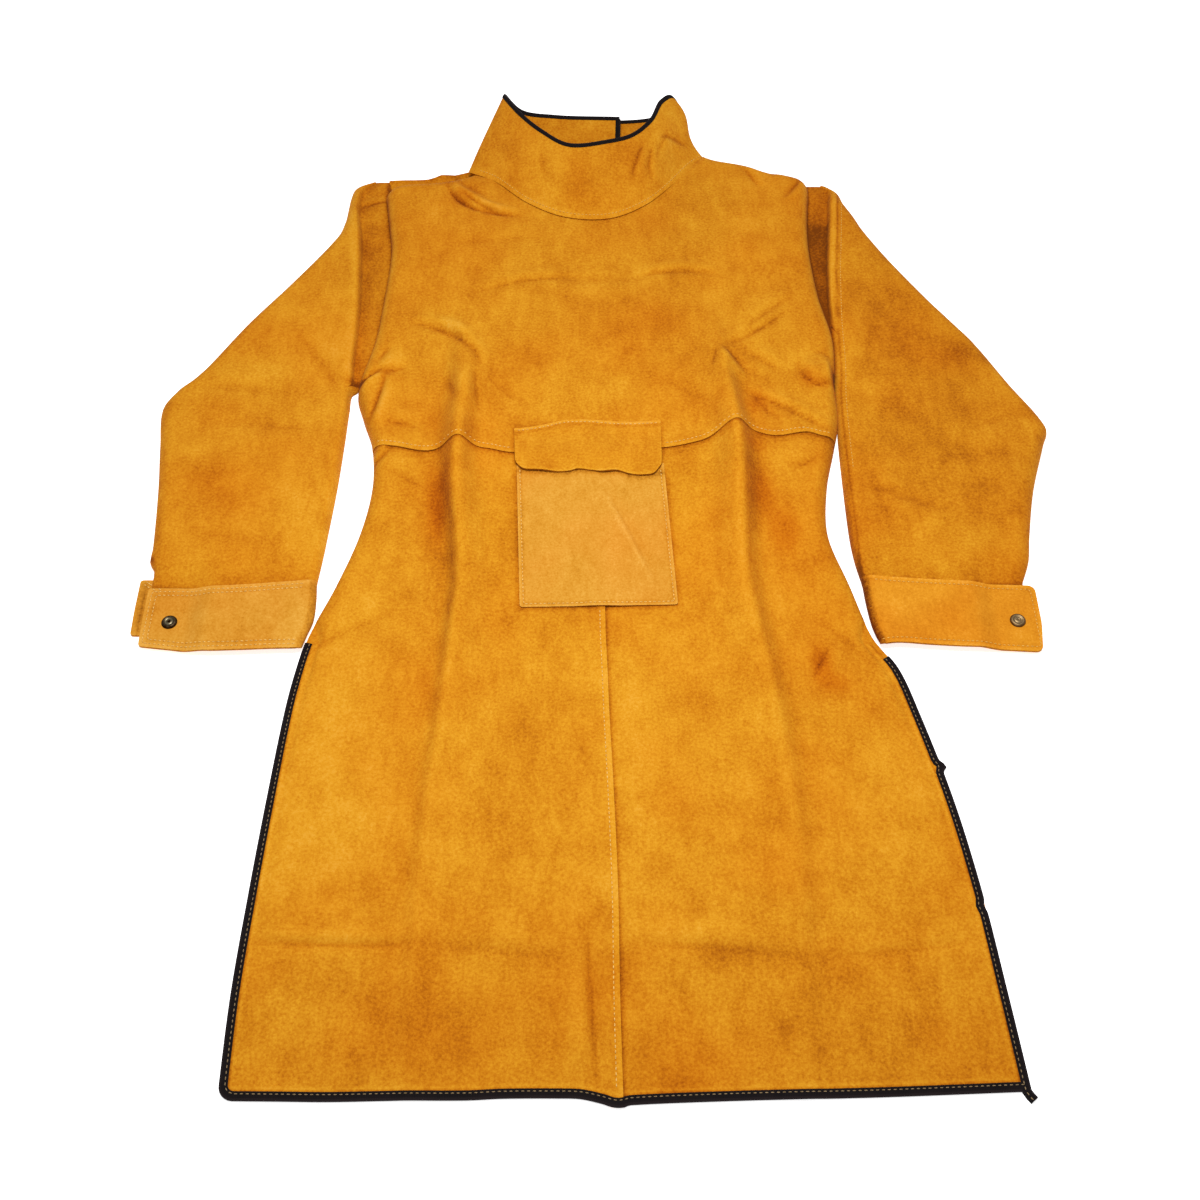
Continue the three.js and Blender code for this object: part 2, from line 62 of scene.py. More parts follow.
def linear(hex_colour):
    """Linear colour of an sRGB hex value."""
    parts = [int(hex_colour[i : i + 2], 16) / 255 for i in (1, 3, 5)]
    return tuple(c / 12.92 if c <= 0.04045 else ((c + 0.055) / 1.055) ** 2.4 for c in parts)


def table(columns, *rows):
    """Rows of numbers under named columns."""
    return dict(zip(columns.split(), np.array(rows, float).T))


# Lengths are in millimetres: x across from the photo's middle, y up from the hem, z up from the floor

# Sections across the front, from the hem up: edges, fold lines, centre seam and heights
FRONT = table(
    "y left fold_left centre fold_right right level rise edge",
    (0, -299.5, -153, 17, 166, 340, 2.2, 0.6, 2.2),
    (90, -301, -154, 15, 168.5, 332.8, 2.4, 2, 2.2),
    (180, -298.3, -154, 14, 170, 324.7, 2.7, 3.4, 2.2),
    (270, -294.3, -150.5, 11, 169.5, 311.8, 3.2, 5, 2.2),
    (360, -289, -144, 7, 160.5, 292, 4.2, 7, 2.4),
    (405, -283.8, -141, 5.5, 155, 279, 5.4, 8.8, 2.6),
    (440, -277, -138.5, 4, 148.5, 258.8, 7, 11, 2.8),
    (500, -256, -135, 3, 140, 242.3, 9.6, 12, 2.8),
    (560, -239, -139.5, 2, 139.5, 226.6, 12.5, 15, 2.8),
    (620, -231.4, -145.5, 2, 141, 230.4, 15.3, 18, 2.8),
    (675, -236, -145, 2, 141, 242.9, 18, 20.5, 2.8),
    (712, -248, -145, 2, 138, 250.5, 19, 17, 2.8),
    (750, -257.5, -146, 2, 134, 250.5, 20, 13, 2.8),
    (820, -245, -148, 2, 127, 254, 22, 4, 8),
    (887, -240, -149, 2, 124, 243.5, 23, 0, 10),
    (960, -238, -150, 2, 124, 238.7, 25, 0, 10.5),
    (1010, -244.5, -150, 2, 124, 240.3, 25.3, 0, 10.5),
    (1060, -252, -150, 2, 124, 245.5, 25.5, 0, 10.5),
)

# Lines of the hem, the waist seam, the neckline and the shoulders
HEM = table(
    "x y",
    (-299.5, 5.6), (-253, 5.2), (-215, 4.8), (-160, 5.8), (-105, 6.1), (-78, 7.4), (-31, 7.6), (-16, 7),
    (0, 3.4), (9, 0.4), (17, 0.2), (31, 2.4), (118, 5.9), (178, 7.3), (236, 8.9), (340, 13),
)
WAIST = table(
    "x y",
    (-236, 671), (-211, 668), (-180, 662), (-145, 666.5), (-115, 665), (-90, 660), (64, 666),
    (103, 675), (131, 686), (150, 689), (181, 682), (212, 687), (228, 682), (243, 681),
)
NECKLINE = table(
    "x y",
    (-150, 1086), (-124, 1073), (-93, 1041), (-60, 1018), (-20, 1005), (20, 1009), (51, 1028), (88, 1069),
    (124, 1121),
)
SHOULDERS = {
    "left": table("x y", (-252, 1058), (-240, 1069), (-226, 1073.5), (-190, 1077), (-150, 1086)),
    "right": table(
        "x y",
        (124, 1121), (134, 1117.5), (155, 1113), (175, 1107), (196, 1095.5), (216, 1091.5), (236, 1083.5),
        (248, 1073),
    ),
}

# How the front's shoulders and sides roll over, and the strip along its sides that the tape holds flat
SHOULDER_EDGE = 10.5
SHOULDER_BLEND = 30
SHOULDER_ROLL = 16
SIDE_ROLL = 14
TAPE_STRIP = 13.5
TAPE_FACE = 6.2
TAPE_END = (432, 462)
RELIEF_EASE = (0, 9)
SLACK_EASE = (4, 34)

# Half width of the two long folds towards the sides and towards the middle
FOLD_OUTER = table(
    "y left right",
    (0, 9, 10), (420, 9, 12), (600, 10, 13), (640, 13, 13), (690, 15, 12), (760, 13, 11), (1060, 12, 11),
)
FOLD_INNER = table(
    "y left right",
    (0, 24, 24), (420, 22, 22), (600, 18, 19), (650, 13, 18), (690, 13, 18), (760, 20, 24), (1060, 24, 24),
)

# Height of a ply that lies on the floor, the least heights of the front, and a distance past every edge
FLOOR_PLY = 1.0
LEAST_FRONT = 2.8
LEAST_SKIRT = 1.1
FAR = 99

# Seams: how far one sheet runs on under the next, how it rises or sinks there, the painted highlight on the
# upper sheet's edge and the painted shadow beside the seam
WAIST_LAP = {"over": 2, "under": 9, "rise": 1.2, "rise_ease": 30, "sink": 0.8, "sink_ease": 25}
WAIST_LIGHT_AND_SHADOW = {"pale": 0.3, "pale_in": (1, 6), "dark": 0.9, "dark_width": 2.6, "even_from": 3, "dark_to": 9}
CENTRE_LAP = {"over": 1.5, "under": 9, "rise": 1.0, "sink": 0.6, "ease": 22}
CENTRE_LIGHT_AND_SHADOW = {"pale": 0.4, "pale_in": (-6, -3), "dark": 0.9, "dark_width": 2.6}
BODICE_ENDS = {"top": (2, 14), "waist": (0, 12)}
SKIRT_ENDS = {"hem": (12, 40), "centre": (4, 26), "held": 0.6}
NECK_TUCK = 7
CORNER_ROUND = 11

# Painted light and shade on the front: darker towards the hem, painted highlight on the crests and painted
# shade on the outer sides of the long folds, painted shade along the rolled side edges
HEM_DARKENING = {"dark": 0.15, "to": (105, 150)}
FOLD_CREST = {"inside": 1.5, "width": 3.0, "pale": 0.14, "from": (60, 200), "to": (690, 780)}
FOLD_CREST_ABOVE = {"pale": 0.06, "from": (380, 560)}
FOLD_SHADE = {"outside": (2, 8), "width": 15, "dark": 0.2, "from": (100, 250), "to": (630, 700)}
FOLD_SHADE_ABOVE = {"dark": 0.35, "from": (380, 600)}
SIDE_SHADE = {"dark": 0.15, "to": (2, 20)}
ARMHOLE_FROM = (765, 800)

# Painted lines along edges: strength, distance and half width of the pale one, a painted highlight, then of
# the dark one, a painted shade
EDGE_LINES = {
    "armhole": (0.4, 5, 2.5, 0.6, 0, 1.6),
    "tape": (0.35, 2.6, 1.6, 0.7, 0.2, 1.1),
    "strip": (0.3, -4, 2.2, 0.7, 0, 1.3),
}

# Hidden back: the edges of its opening, and its shoulders and neckline
BACK = table(
    "y left right",
    (472, -240, 222),
    (530, -205, 190),
    (600, -165, 150),
    (700, -115, 105),
    (800, -60, 55),
    (900, -12, 5),
    (960, 15, -18),
    (1098, 22, -30),
)
BACK_TOP = table(
    "x y rise",
    (-258, 1091.5, 8), (-239, 1093, 8), (-204, 1095, 8), (-190, 1103, 8), (-174, 1102, 8), (-160, 1107, 8),
    (-150, 1110, 8), (-124, 1109, 7), (-100, 1108, 4), (-60, 1107, 0.5), (0, 1107, 0), (22, 1109, 0),
    (55, 1115, 0.8), (85, 1121, 4.5), (107, 1125, 7), (124, 1124, 8), (145, 1114, 8), (175, 1101, 8),
    (248, 1066, 8),
)
BACK_LAP = {"y": (730, 905), "x": (-120, -75), "lift": 5}
BACK_TAPE = {"from": 520, "to": 1104, "level": 14.4, "eased": 27, "lift": 1.1}
# Painted shade on the back's turned-up shoulders, darker about the left shoulder
BACK_SHADE = {"dark": 0.45, "more": 0.5, "more_x": -180, "more_width": 20}

# Sections across each sleeve, from the cuff up: inner edge, pleat beside the armhole, outer edge, heights
SLEEVE_COLUMNS = "y inner band outer level edge"
SLEEVES = {
    "left": table(
        SLEEVE_COLUMNS,
        (502, -276.4, 0, -435.5, 11, 2.8),
        (519, -275, 0, -436.6, 11.4, 2.8),
        (527, -274.3, 0, -442, 11.7, 2.8),
        (545, -273, 0, -442.3, 12.2, 2.8),
        (620, -268.7, 0, -449.6, 14, 2.8),
        (680, -267, 0, -457.6, 15, 2.8),
        (727, -266.3, 0, -462.4, 15, 2.8),
        (753, -265, 1, -449.8, 15, 3.0),
        (758, -257, 9, -445, 15, 3.4),
        (765, -253, 13, -438.5, 15, 3.8),
        (785, -248.5, 20, -425, 15, 4.5),
        (850, -240, 29.5, -389.2, 16, 6),
        (915, -236.5, 36.5, -347.6, 17, 6),
        (990, -238, 42, -305, 17, 6),
        (1020, -243, 41.5, -297.6, 16.5, 6),
        (1040, -247, 40, -296.2, 16, 6),
        (1066, -250, 36, -294.6, 13.5, 6),
        (1080, -254, 27, -290.5, 11, 6),
        (1091.5, -257, 12, -274, 8, 6),
    ),
    "right": table(
        SLEEVE_COLUMNS,
        (502, 256, 0, 410.5, 11, 2.8),
        (530, 251.2, 0, 421.4, 11.8, 2.8),
        (560, 249, 0, 427.2, 12.5, 2.8),
        (620, 248.5, 0, 441.2, 14, 2.8),
        (682, 249, 0, 461.8, 15, 2.8),
        (701, 250, 0, 467.4, 15, 2.8),
        (760, 251.4, 0, 438.8, 15, 2.8),
        (820, 254.6, 2, 410, 16, 4.5),
        (850, 248, 8.5, 391.2, 16.5, 5),
        (887, 242, 15, 367.6, 17, 6),
        (950, 237.2, 24.5, 331.2, 18, 6),
        (1000, 238, 29, 306.8, 18, 6),
        (1026, 240, 30, 297.6, 17.2, 6),
        (1050, 242.5, 29.5, 287.8, 16, 6),
        (1070, 245, 29, 282.6, 12.5, 6),
        (1084, 249, 15, 271.5, 8, 6),
    ),
}

# Pleat beside the armhole, and each sleeve's shadow in it: depth, evenness, share of the depth near the top
PLEAT = {"foot": 0.88, "columns": 0.3, "least": 7, "from": 2, "full": 12, "tuck": 5}
SLEEVE_BANDS = {"left": (0.65, 0.45, 0.8), "right": (1.45, 0.95, 0.4)}
SLEEVE_BAND_STEP = (1006, 1024)

# Upper layer's share of the sleeve's grid, the tuck into the cuff, where it lies free, its floor layer
SLEEVE_UPPER = 0.6
SLEEVE_TUCK = 8
SLEEVE_START = {"above": 0.5, "outer": 0.1}
SLEEVE_FREE = {"side": (4, 30), "cuff": (16, 50), "top": (10, 40)}
SLEEVE_MEET = {"under": 2.6, "ease": (-2, 30)}
SLEEVE_FLOOR = {"crowd": 1.6, "gap": 0.8, "roll": 2.0, "shut": 14, "rise": 2.8}

# Painted light and shade on the sleeves: the pleat's painted shadow and the painted highlight on its lip,
# painted shade beside the front, above the cuff, along the outer fold and along the right sleeve's inner edge
PLEAT_LIGHT_AND_SHADE = {"in": (0.1, 0.8), "out": (0.92, 1.0), "pale": 0.35, "pale_at": 1.1, "pale_width": 0.12}
BESIDE_FRONT = {"dark": 1.1, "width": 2.8, "from": (752, 775)}
ABOVE_CUFF = {"dark": 0.7, "width": 3, "even_from": 4, "to": 12}
SLEEVE_OUTER = {"dark": 0.2, "to": (2, 16)}
RIGHT_INNER = {"dark": 1.2, "width": 4, "to": (560, 680)}

# Line of the folded strip along the right sleeve's inner edge
SLEEVE_STRIP = table(
    "y x",
    (548, 255), (638, 254), (734, 255.6), (784, 259.5), (844, 261.2), (885, 263.7), (927, 266.8),
    (970, 271.4), (1015, 276), (1061, 280.3),
)

# Cuffs: the inner fold, the free ends of both plies, the snap's place, the corners and both edges
CUFFS = {
    "left": {
        "fold": table("v x", (0, -282.8), (0.2, -279), (0.4, -275), (0.7, -274.8), (1, -276.5)),
        "upper": -437.5, "under": -448.2, "snap": (-411, 455), "corner": 3, "tab": 12, "splay": 0.8,
        "edges": table(
            "x bottom top", (-437, 428.2, 495), (-410, 425, 495), (-376, 420.9, 494.4), (-344, 421.4, 496),
            (-311, 422.8, 498.8), (-275, 423.6, 502.2),
        ),
    },
    "right": {
        "fold": table("v x", (0, 266.5), (0.12, 263.2), (0.3, 260), (0.6, 257.4), (1, 255.6)),
        "upper": 421.8, "under": 418, "snap": (399, 457), "corner": 7, "tab": 0, "splay": 3.4,
        "edges": table(
            "x bottom top", (260, 427, 507.5), (282, 429.8, 505.3), (311, 427.5, 503), (343, 425.5, 501),
            (375, 424.6, 499.8), (407, 422.8, 498.8), (421, 422, 498.4),
        ),
    },
}

# Plies of the cuffs: heights, where they part from the snap, their turn, wall, slant, tab, swell, paler rims,
# and painted shade on the turn, the under ply, along the seam, in the groove and beside the inner fold
CUFF_PLIES = {"upper": 11, "pinched_upper": 5.6, "pinched_under": 2.5, "flat": 40, "open": 66, "share": 0.45}
CUFF_WALL = 2.6
CUFF_LIFT = 0.4
CUFF_SLANT = 0.7
CUFF_TAB = (60, 140)
CUFF_SPLAY = (0, 0.5)
CUFF_SWELL = {"rise": 0.7, "ripple": 0.35, "wave": 13}
CUFF_FOLD_SHADE = {"left": 0.3, "right": 1.3}
CUFF_SEAM = {"left": 8.5, "right": 5}
CUFF_TONE_AND_SHADE = {"even": 0.1, "rim": 0.35, "rim_in": (1, 6), "turn": 0.5, "under": 0.4, "fold_width": 5}
CUFF_LINES = {"seam": 0.3, "seam_width": 1.6, "groove": 0.9, "groove_at": 6, "groove_width": 1.3}

# Collar sections, from the upper end of the lap by the left, the front and the right to the under end
COLLAR = table(
    "base_x base_y base_z rim_x rim_y rim_z",
    (22, 1100, 7.2, 24, 1187, 27),
    (-60, 1100, 4.6, -55, 1189.5, 28),
    (-124, 1104, 9, -96, 1188, 37),
    (-156, 1098, 19, -115, 1194, 55),
    (-124, 1071, 28, -97, 1156, 60),
    (-84, 1031, 29.5, -69, 1120, 61),
    (-40, 1006, 30, -36, 1094, 61),
    (11, 1003.5, 30, 8, 1100, 61),
    (51, 1026, 29.5, 36, 1111, 61),
    (84, 1063, 28.5, 59, 1140, 60),
    (110, 1102, 24, 73, 1179, 58),
    (125, 1123, 17, 86, 1194, 53),
    (107, 1122, 9, 94, 1185, 40),
    (55, 1110, 2.6, 60, 1193.5, 20),
    (-30, 1101, 1.4, -30, 1194, 15),
)

# Collar: its dip over the bodice, where it stands, its bulges and swell, its tape's points, the painted
# highlight along the ridge of its base and its darkening where it lies flat
COLLAR_DIP = {"depth": 2.4, "from": (9, 25), "to": (0, 0.3)}
COLLAR_STANDS = (12, 24)
COLLAR_BULGE = {
    "middle": (-13, 1085), "front": 3, "front_from": (-140, -90), "right": 4.5, "right_from": (70, 105),
}
COLLAR_SWELL = {"rise": 1.6, "from": (15, 28)}
COLLAR_TAPE = {
    "rim_points": 181, "below": 0.1, "lap": (0.97, 0.02), "lap_points": 30, "beside": 0.01, "nudge": 1e-3,
}
COLLAR_LIGHT_AND_DARK = {"seam": 0.35, "seam_at": 0.05, "seam_width": 0.04, "lying": 0.2}

# Patch pocket and its flap
POUCH = {"bottom": ((-77, 470), (75, 473)), "top": ((-85, 643), (65, 643)), "corner": 3}
POUCH_FORM = {"off": 2.0, "fill": 1.6, "puff": 1.5, "sewn": (3, 26)}
POUCH_STEP = {"rise": 1.1, "x": -5, "ease": (4, 24)}
# Pouch: paler overall and along its rims, painted shade in the groove of its seam; painted shadow around it
# on the skirt and under the flap
POUCH_TONE_AND_SHADE = {"even": 0.12, "rim": 0.35, "rim_in": (0.5, 3), "seam": 0.6, "seam_at": 4, "seam_width": 1.5}
POUCH_SHADE = {"around": 0.8, "around_width": 3, "around_to": 14, "flap": 0.9, "flap_width": 4}
POCKET_SLACK = {"height": 0.5, "finer": 1.7}
FLAP_TOP = table(
    "x y",
    (-89, 688), (-73, 690), (-55, 694), (-42, 698), (-30, 700), (-11, 700), (22, 697), (42, 697.5), (63, 699),
)
FLAP_LOW = table(
    "x y",
    (-87, 634), (-77, 633), (-46, 629), (-30, 630), (-23, 632.5), (-10, 631.5), (3, 629), (18, 630),
    (30, 626.5), (41, 625), (53, 627), (63, 631),
)
FLAP_SIDES = {"top": (-89, 63), "low": (-86, 63), "corner": 12}
FLAP_FORM = {"sewn": 2.1, "free": 5.9, "to": (648, 684), "lip": (0, 16), "slack_to": (6, 20)}
# Flap: paler along its rims, painted shade along a line under its top, painted shadow beside its sides
FLAP_NAP = {"rim": 0.4, "rim_in": (0.5, 4), "top": 0.7, "top_in": (1.5, 4.5)}
FLAP_LINE = {"dark": 0.35, "below": 6, "width": 2}
FLAP_SHADE = {"y": (634, 699), "from": (638, 650), "to": (692, 700), "low": 0.9, "top": 0.5, "width": 2.6}

# Creases: both ends, how far the middle bows to the left, half width, depth, side of the raised lip
CREASE_COLUMNS = "x0 y0 x1 y1 bow width depth lip"
FRONT_CREASES = table(
    CREASE_COLUMNS,
    (-210, 841, -133, 787, 12, 5, 3.2, 1),
    (-186, 834, -146, 812, 5, 4, 2.4, 1),
    (-229, 772, -242, 700, 2, 4, 4.6, 1),
    (-262, 750, -232, 775, 0, 4, 4.6, -1),
    (-240, 770, -204, 776, -2, 5, 2.4, 1),
    (-238, 776, -226, 806, 2, 5, 2.0, -1),
    (-236, 640, -214, 667, 0, 3.5, 3.0, 1),
    (-226, 700, -190, 690, 3, 5, 2.2, 1),
    (-143, 808, -129, 770, 4, 4, 2.4, 1),
    (-132, 776, -125, 706, -3, 4.5, 2.2, -1),
    (-166, 760, -150, 716, 3, 6, 1.8, 1),
    (-180, 1068, -138, 1020, -8, 4, 5.0, 1),
    (-152, 1026, -90, 1010, -2, 4, 3.2, 1),
    (-168, 1056, -112, 1014, -4, 3, 3.4, 1),
    (-172, 1082, -128, 1046, -6, 6, 1.4, -1),
    (170, 1098, 187, 1060, 1, 3.5, 3.0, 1),
    (196, 1104, 206, 1078, 2, 4, 2.0, -1),
    (240, 1080, 216, 1042, 0, 3.5, 3.0, 1),
    (132, 804, 206, 858, -3, 4, 2.6, 1),
    (150, 818, 214, 882, 3, 5, 1.8, 1),
    (129, 805, 159, 761, 3, 4, 3.2, -1),
    (128, 800, 120, 766, -2, 5, 2.0, 1),
    (156, 795, 190, 768, 3, 5, 2.0, 1),
    (148, 742, 242, 680, 6, 4, 2.8, 1),
    (160, 742, 188, 700, -3, 5, 1.4, -1),
    (212, 787, 233, 749, -6, 4, 2.5, 1),
    (224, 752, 251, 757, -3, 4, 2.2, 1),
    (230, 796, 250, 786, 3, 4, 1.6, -1),
    (246, 786, 251, 742, 2, 3, 3.6, -1),
    (-11, 150, -1, 4, -1, 5, 2.6, -1),
    (-297, 136, -148, 134, -2, 4, 2.0, 1),
    (-150, 132, -20, 118, 3, 6, 0.9, 1),
    (18, 134, 178, 122, 2, 6, 1.4, 1),
    (178, 122, 318, 138, -3, 5, 0.9, 1),
    (-140, 884, -8, 909, 10, 4.5, 1.5, 1),
    (-62, 908, 60, 910, -4, 8, 0.8, -1),
    (42, 910, 134, 913, 9, 4, 2.4, 1),
    (-180, 960, -60, 972, 3, 10, 0.8, 1),
    (-222, 640, -176, 610, 2, 7, 1.4, 1),
    (196, 640, 226, 655, -2, 6, 1.6, 1),
    (60, 760, 118, 720, 2, 8, 1.2, 1),
    (-120, 760, -70, 720, -2, 8, 1.0, 1),
    (-300, 402, -190, 470, 5, 9, 1.2, 1),
    (190, 470, 262, 396, 5, 9, 1.2, 1),
    (197, 390, 217, 430, 0, 5, 2.4, -1),
)

# Soft zones of painted shade and light and of nap tone: middle, two half widths, how much paler it is, and
# how much warmer its tint is, for warm painted shade and dyeing
TONE_COLUMNS = "x y across along tone warm"
FRONT_TONES = table(
    TONE_COLUMNS,
    (-168, 690, 15, 20, -0.35, 0.3),
    (164, 724, 14, 16, -0.2, 0.6),
    (162, 612, 14, 30, -0.4, 0.9),
    (182, 566, 15, 30, -0.45, 0.8),
    (157, 668, 12, 13, -0.25, 0.6),
    (-162, 588, 12, 42, -0.6, 1.0),
    (96, 121, 90, 12, -0.28, 0),
    (-255, 756, 6, 6, -2.2, 0.5),
    (250, 762, 4.5, 9, -1.8, 0.5),
    (220, 761, 9, 12, -0.25, 0.6),
    (234, 754, 11, 7, -0.25, 0.6),
    (-226, 766, 9, 10, -0.4, 0.4),
    (-160, 1044, 16, 14, -0.6, 0.4),
    (-178, 1070, 10, 8, -0.6, 0.3),
    (-230, 310, 60, 150, 0.4, 0),
    (-165, 391, 28, 30, -0.2, 0.4),
    (0, 402, 110, 38, 0.25, -0.1),
    (28, 296, 28, 52, 0.45, -0.4),
    (207, 408, 9, 20, -0.55, 0.7),
    (219, 388, 14, 13, -0.4, 0.6),
    (246, 357, 20, 16, -0.15, 0.1),
    (240, 205, 60, 40, 0.1, -0.5),
    (150, 262, 22, 36, -0.35, 0),
    (90, 214, 34, 30, 0.25, -0.4),
    (-120, 158, 50, 25, -0.15, 0.3),
    (172, 154, 48, 24, 0.1, -0.4),
    (-144, 52, 36, 26, -0.25, 0.2),
    (165, 52, 55, 26, -0.2, 0.1),
    (-130, 905, 55, 45, -0.2, 0),
    (60, 845, 40, 40, -0.05, 0.4),
    (-65, 850, 36, 30, 0.2, -0.3),
    (262, 152, 30, 24, -0.3, 0),
    (105, 780, 55, 45, -0.2, -0.2),
    (214, 930, 30, 45, -0.25, 0.1),
    (-20, 735, 50, 28, 0.1, -0.4),
    (0, 860, 240, 150, -0.1, 0),
    (110, 1010, 110, 70, -0.1, 0),
)
KNOB = {"x": 233, "y": 770, "radius": 13, "height": 6}
SLEEVE_CREASES = {
    "left": table(
        CREASE_COLUMNS,
        (-440, 752, -330, 742, 4, 8, 1.2, 1),
        (-420, 700, -300, 690, 3, 9, 0.8, -1),
        (-300, 640, -270, 560, 2, 8, 1.0, 1),
        (-420, 560, -330, 545, 3, 8, 0.7, 1),
        (-330, 830, -276, 740, 4, 11, 1.6, 1),
        (-284, 1044, -248, 1057, 3, 3, 2.6, 1),
    ),
    "right": table(
        CREASE_COLUMNS,
        (282, 606, 350, 584, 3, 4.5, 1.6, -1),
        (268, 614, 312, 606, 2, 4, 1.2, 1),
        (456, 716, 380, 690, -4, 9, 1.0, 1),
        (440, 660, 340, 650, -3, 9, 0.8, 1),
        (300, 860, 276, 760, 3, 11, 1.6, -1),
        (266, 660, 290, 560, 2, 8, 1.2, 1),
    ),
}
# Soft zones of painted shade and light and of nap tone on the sleeves, with dark painted shade in the armpits
SLEEVE_TONES = {
    "left": table(
        TONE_COLUMNS,
        (-395, 620, 40, 50, -0.2, 0.2),
        (-400, 712, 40, 34, -0.05, 0.4),
        (-330, 640, 40, 60, 0.2, 0),
        (-289, 722, 24, 26, 0.4, -0.2),
        (-340, 869, 40, 32, 0.1, -0.4),
        (-259, 762, 9, 5, -2.0, 0.5),
        (-441, 527, 4, 4, -1.6, 0.5),
        (-262, 790, 8, 16, -0.6, 0.2),
    ),
    "right": table(
        TONE_COLUMNS,
        (340, 690, 45, 35, -0.2, 0),
        (400, 640, 25, 30, -0.2, 0),
        (310, 566, 32, 14, 0.35, 0),
        (300, 880, 60, 120, -0.15, 0),
        (340, 640, 120, 200, -0.32, 0),
        (389, 795, 22, 26, -0.6, 0.3),
        (335, 900, 34, 50, -0.25, 0),
        (390, 735, 36, 28, -0.3, 0),
        (385, 588, 40, 22, -0.25, 0.2),
        (252, 838, 4, 22, -1.0, 0.3),
    ),
}
COLLAR_CREASES = table(
    CREASE_COLUMNS,
    (53, 1106, 37, 1054, -2, 3.2, 2.5, 1),
    (63, 1106, 58, 1058, -3, 3, 2.2, 1),
    (82, 1134, 65, 1088, -1, 3.5, 1.8, -1),
    (68, 1118, 105, 1128, 4, 4, 2.4, -1),
    (-72, 1096, -64, 1040, 3, 7, 0.7, 1),
    (-104, 1110, -92, 1066, -3, 7, 0.6, -1),
)
# Soft zones of painted shade and light and of nap tone on the collar
COLLAR_TONES = table(
    TONE_COLUMNS,
    (-27, 1050, 15, 36, -0.35, 0.3),
    (44, 1080, 16, 24, -0.3, 0.3),
    (98, 1130, 12, 12, -0.25, 0),
)
POUCH_CREASES = table(CREASE_COLUMNS, (-2, 612, 52, 490, 2, 3.4, -1.8, 1), (-60, 560, 30, 540, 2, 9, 0.4, 1))

# Snap cap, from the rim's foot to the middle of the dish: height above the leather, and the wear of each cap
SNAP_CAP = table(
    "radius height left right",
    (7.5, 0, 0, 0), (7.6, 0.6, 0, 0.05), (7.2, 1.3, 0, 0.1), (6.4, 2.0, 0.05, 0.2), (5.6, 2.4, 0.1, 0.35),
    (4.9, 2.45, 0.15, 0.4), (4.3, 2.1, 0.3, 0.4), (3.6, 1.5, 0.55, 0.4), (2.9, 1.5, 0.6, 0.45),
    (2.5, 1.9, 0.6, 0.5), (1.8, 2.1, 0.35, 0.5), (1.3, 1.9, -0.2, 0.4), (0.9, 1.2, -0.4, 0.3),
)
SNAP_FLANGE = {"radius": 5.0, "low": 0.05, "top": 0.9}
SNAP_POST = 2.6
SNAP_SIDES = 48
SNAP_SHARP = 0.9

# Folded tape: its air over the leather, how its face crowns across its width, and its turn round the edge
TAPE_GAP = 0.12
TAPE_CROWN = table("share proud", (1, 0), (0.75, 0.12), (0.5, 0.16), (0.22, 0.12), (0, -0.05))
TAPE_TURN = {"out": -1.05, "shoulder": -0.7, "shoulder_height": 0.72}
TAPE_WORN = {"grey": 0.5, "out": -0.8, "width": 1.2}
TAPE_TOPS = {"left": 428, "right": 404}
TAPE_STEPS = {"skirt": 3.0, "back": 4.0}
TAPE_LEAST = 1.9
TAPE_KINKS = table("y out width", (302, 4.5, 3.5), (168, -1.6, 4))
TAPE_TAIL = ((4.5, -6.5, 0), (1.8, -3.2, 0))

# Rows of stitches: how far each runs, and how far inside its edge
WAIST_SEAM = {"left": (-231, -92), "right": (67, 239), "above": 3.4, "points": 60}
CENTRE_SEAM = {"y": (14, 468), "beside": 3.6, "points": 60}
POUCH_SEAM = {"inside": 3.5, "below_top": 8}
FLAP_SEAM = {"x": (-86, 60), "below": 3.2, "points": 40}
STRIP_SEAM = {"y": (640, 1040), "beside": 4.5, "points": 60}
NECK_SEAM = {"around": (0.25, 0.78), "up": 0.055, "points": 90}
CUFF_ROWS = {"left": (4.0, 8.5), "right": (5.0,), "from_fold": 10, "points": 30}
CUFF_TACK = ((-444.5, 502), (-437.5, 497), (-427, 489.5))
CUFF_TACK_STEP = (2, 3)
CUFF_SHORT_TACK = ((-441.5, 504), (-437, 501))
STITCH = {"around": 6, "along": 5, "flat": 0.8, "lift": 0.2, "drop_from": 200}
TAPE_SEAM = {"inside": 4.0, "above": 0.2, "spacing": 4.6, "stitch": 2.8, "thread": 0.8}

# Points along each edge under the tape, before they are spaced evenly
TAPE_POINTS = {"side": 300, "hem": 200, "back": 400}

# Columns and rows of each sheet's grid, and how strongly its lines draw together at both ends or the far one
GRIDS = {
    "bodice": (200, 176), "skirt": (112, 230), "back": (40, 80), "sleeve": (120, 170), "cuff": (170, 36),
    "collar": (260, 36), "pouch": (90, 100), "flap": (110, 48),
}
CROWD_ENDS = 0.5
CROWD_FAR = 0.6

# Stage: half the floor's width and the lamp's size in metres, the lamp's place, the camera's aim and height
FLOOR_HALF = 6
LAMP_SIZE = 0.55
LAMP_PLACE = (0, 470, 1450)
CAMERA = {"aim": 486, "height": 1192, "elevation": 55, "sensor": 36}

# How a crease's fade, raised lip, painted highlight on the lip and painted shade along its line and valley
# follow from its width and depth
CREASE_FORM = {"fade": 0.8, "lip_at": 2, "lip_width": 1.7, "lip": 0.8, "line_width": 0.45, "least_line": 2.1}
CREASE_LIGHT_AND_SHADE = {"full_depth": 3, "most": 1.5, "lip": 0.35, "line": 0.8, "valley": 0.2}

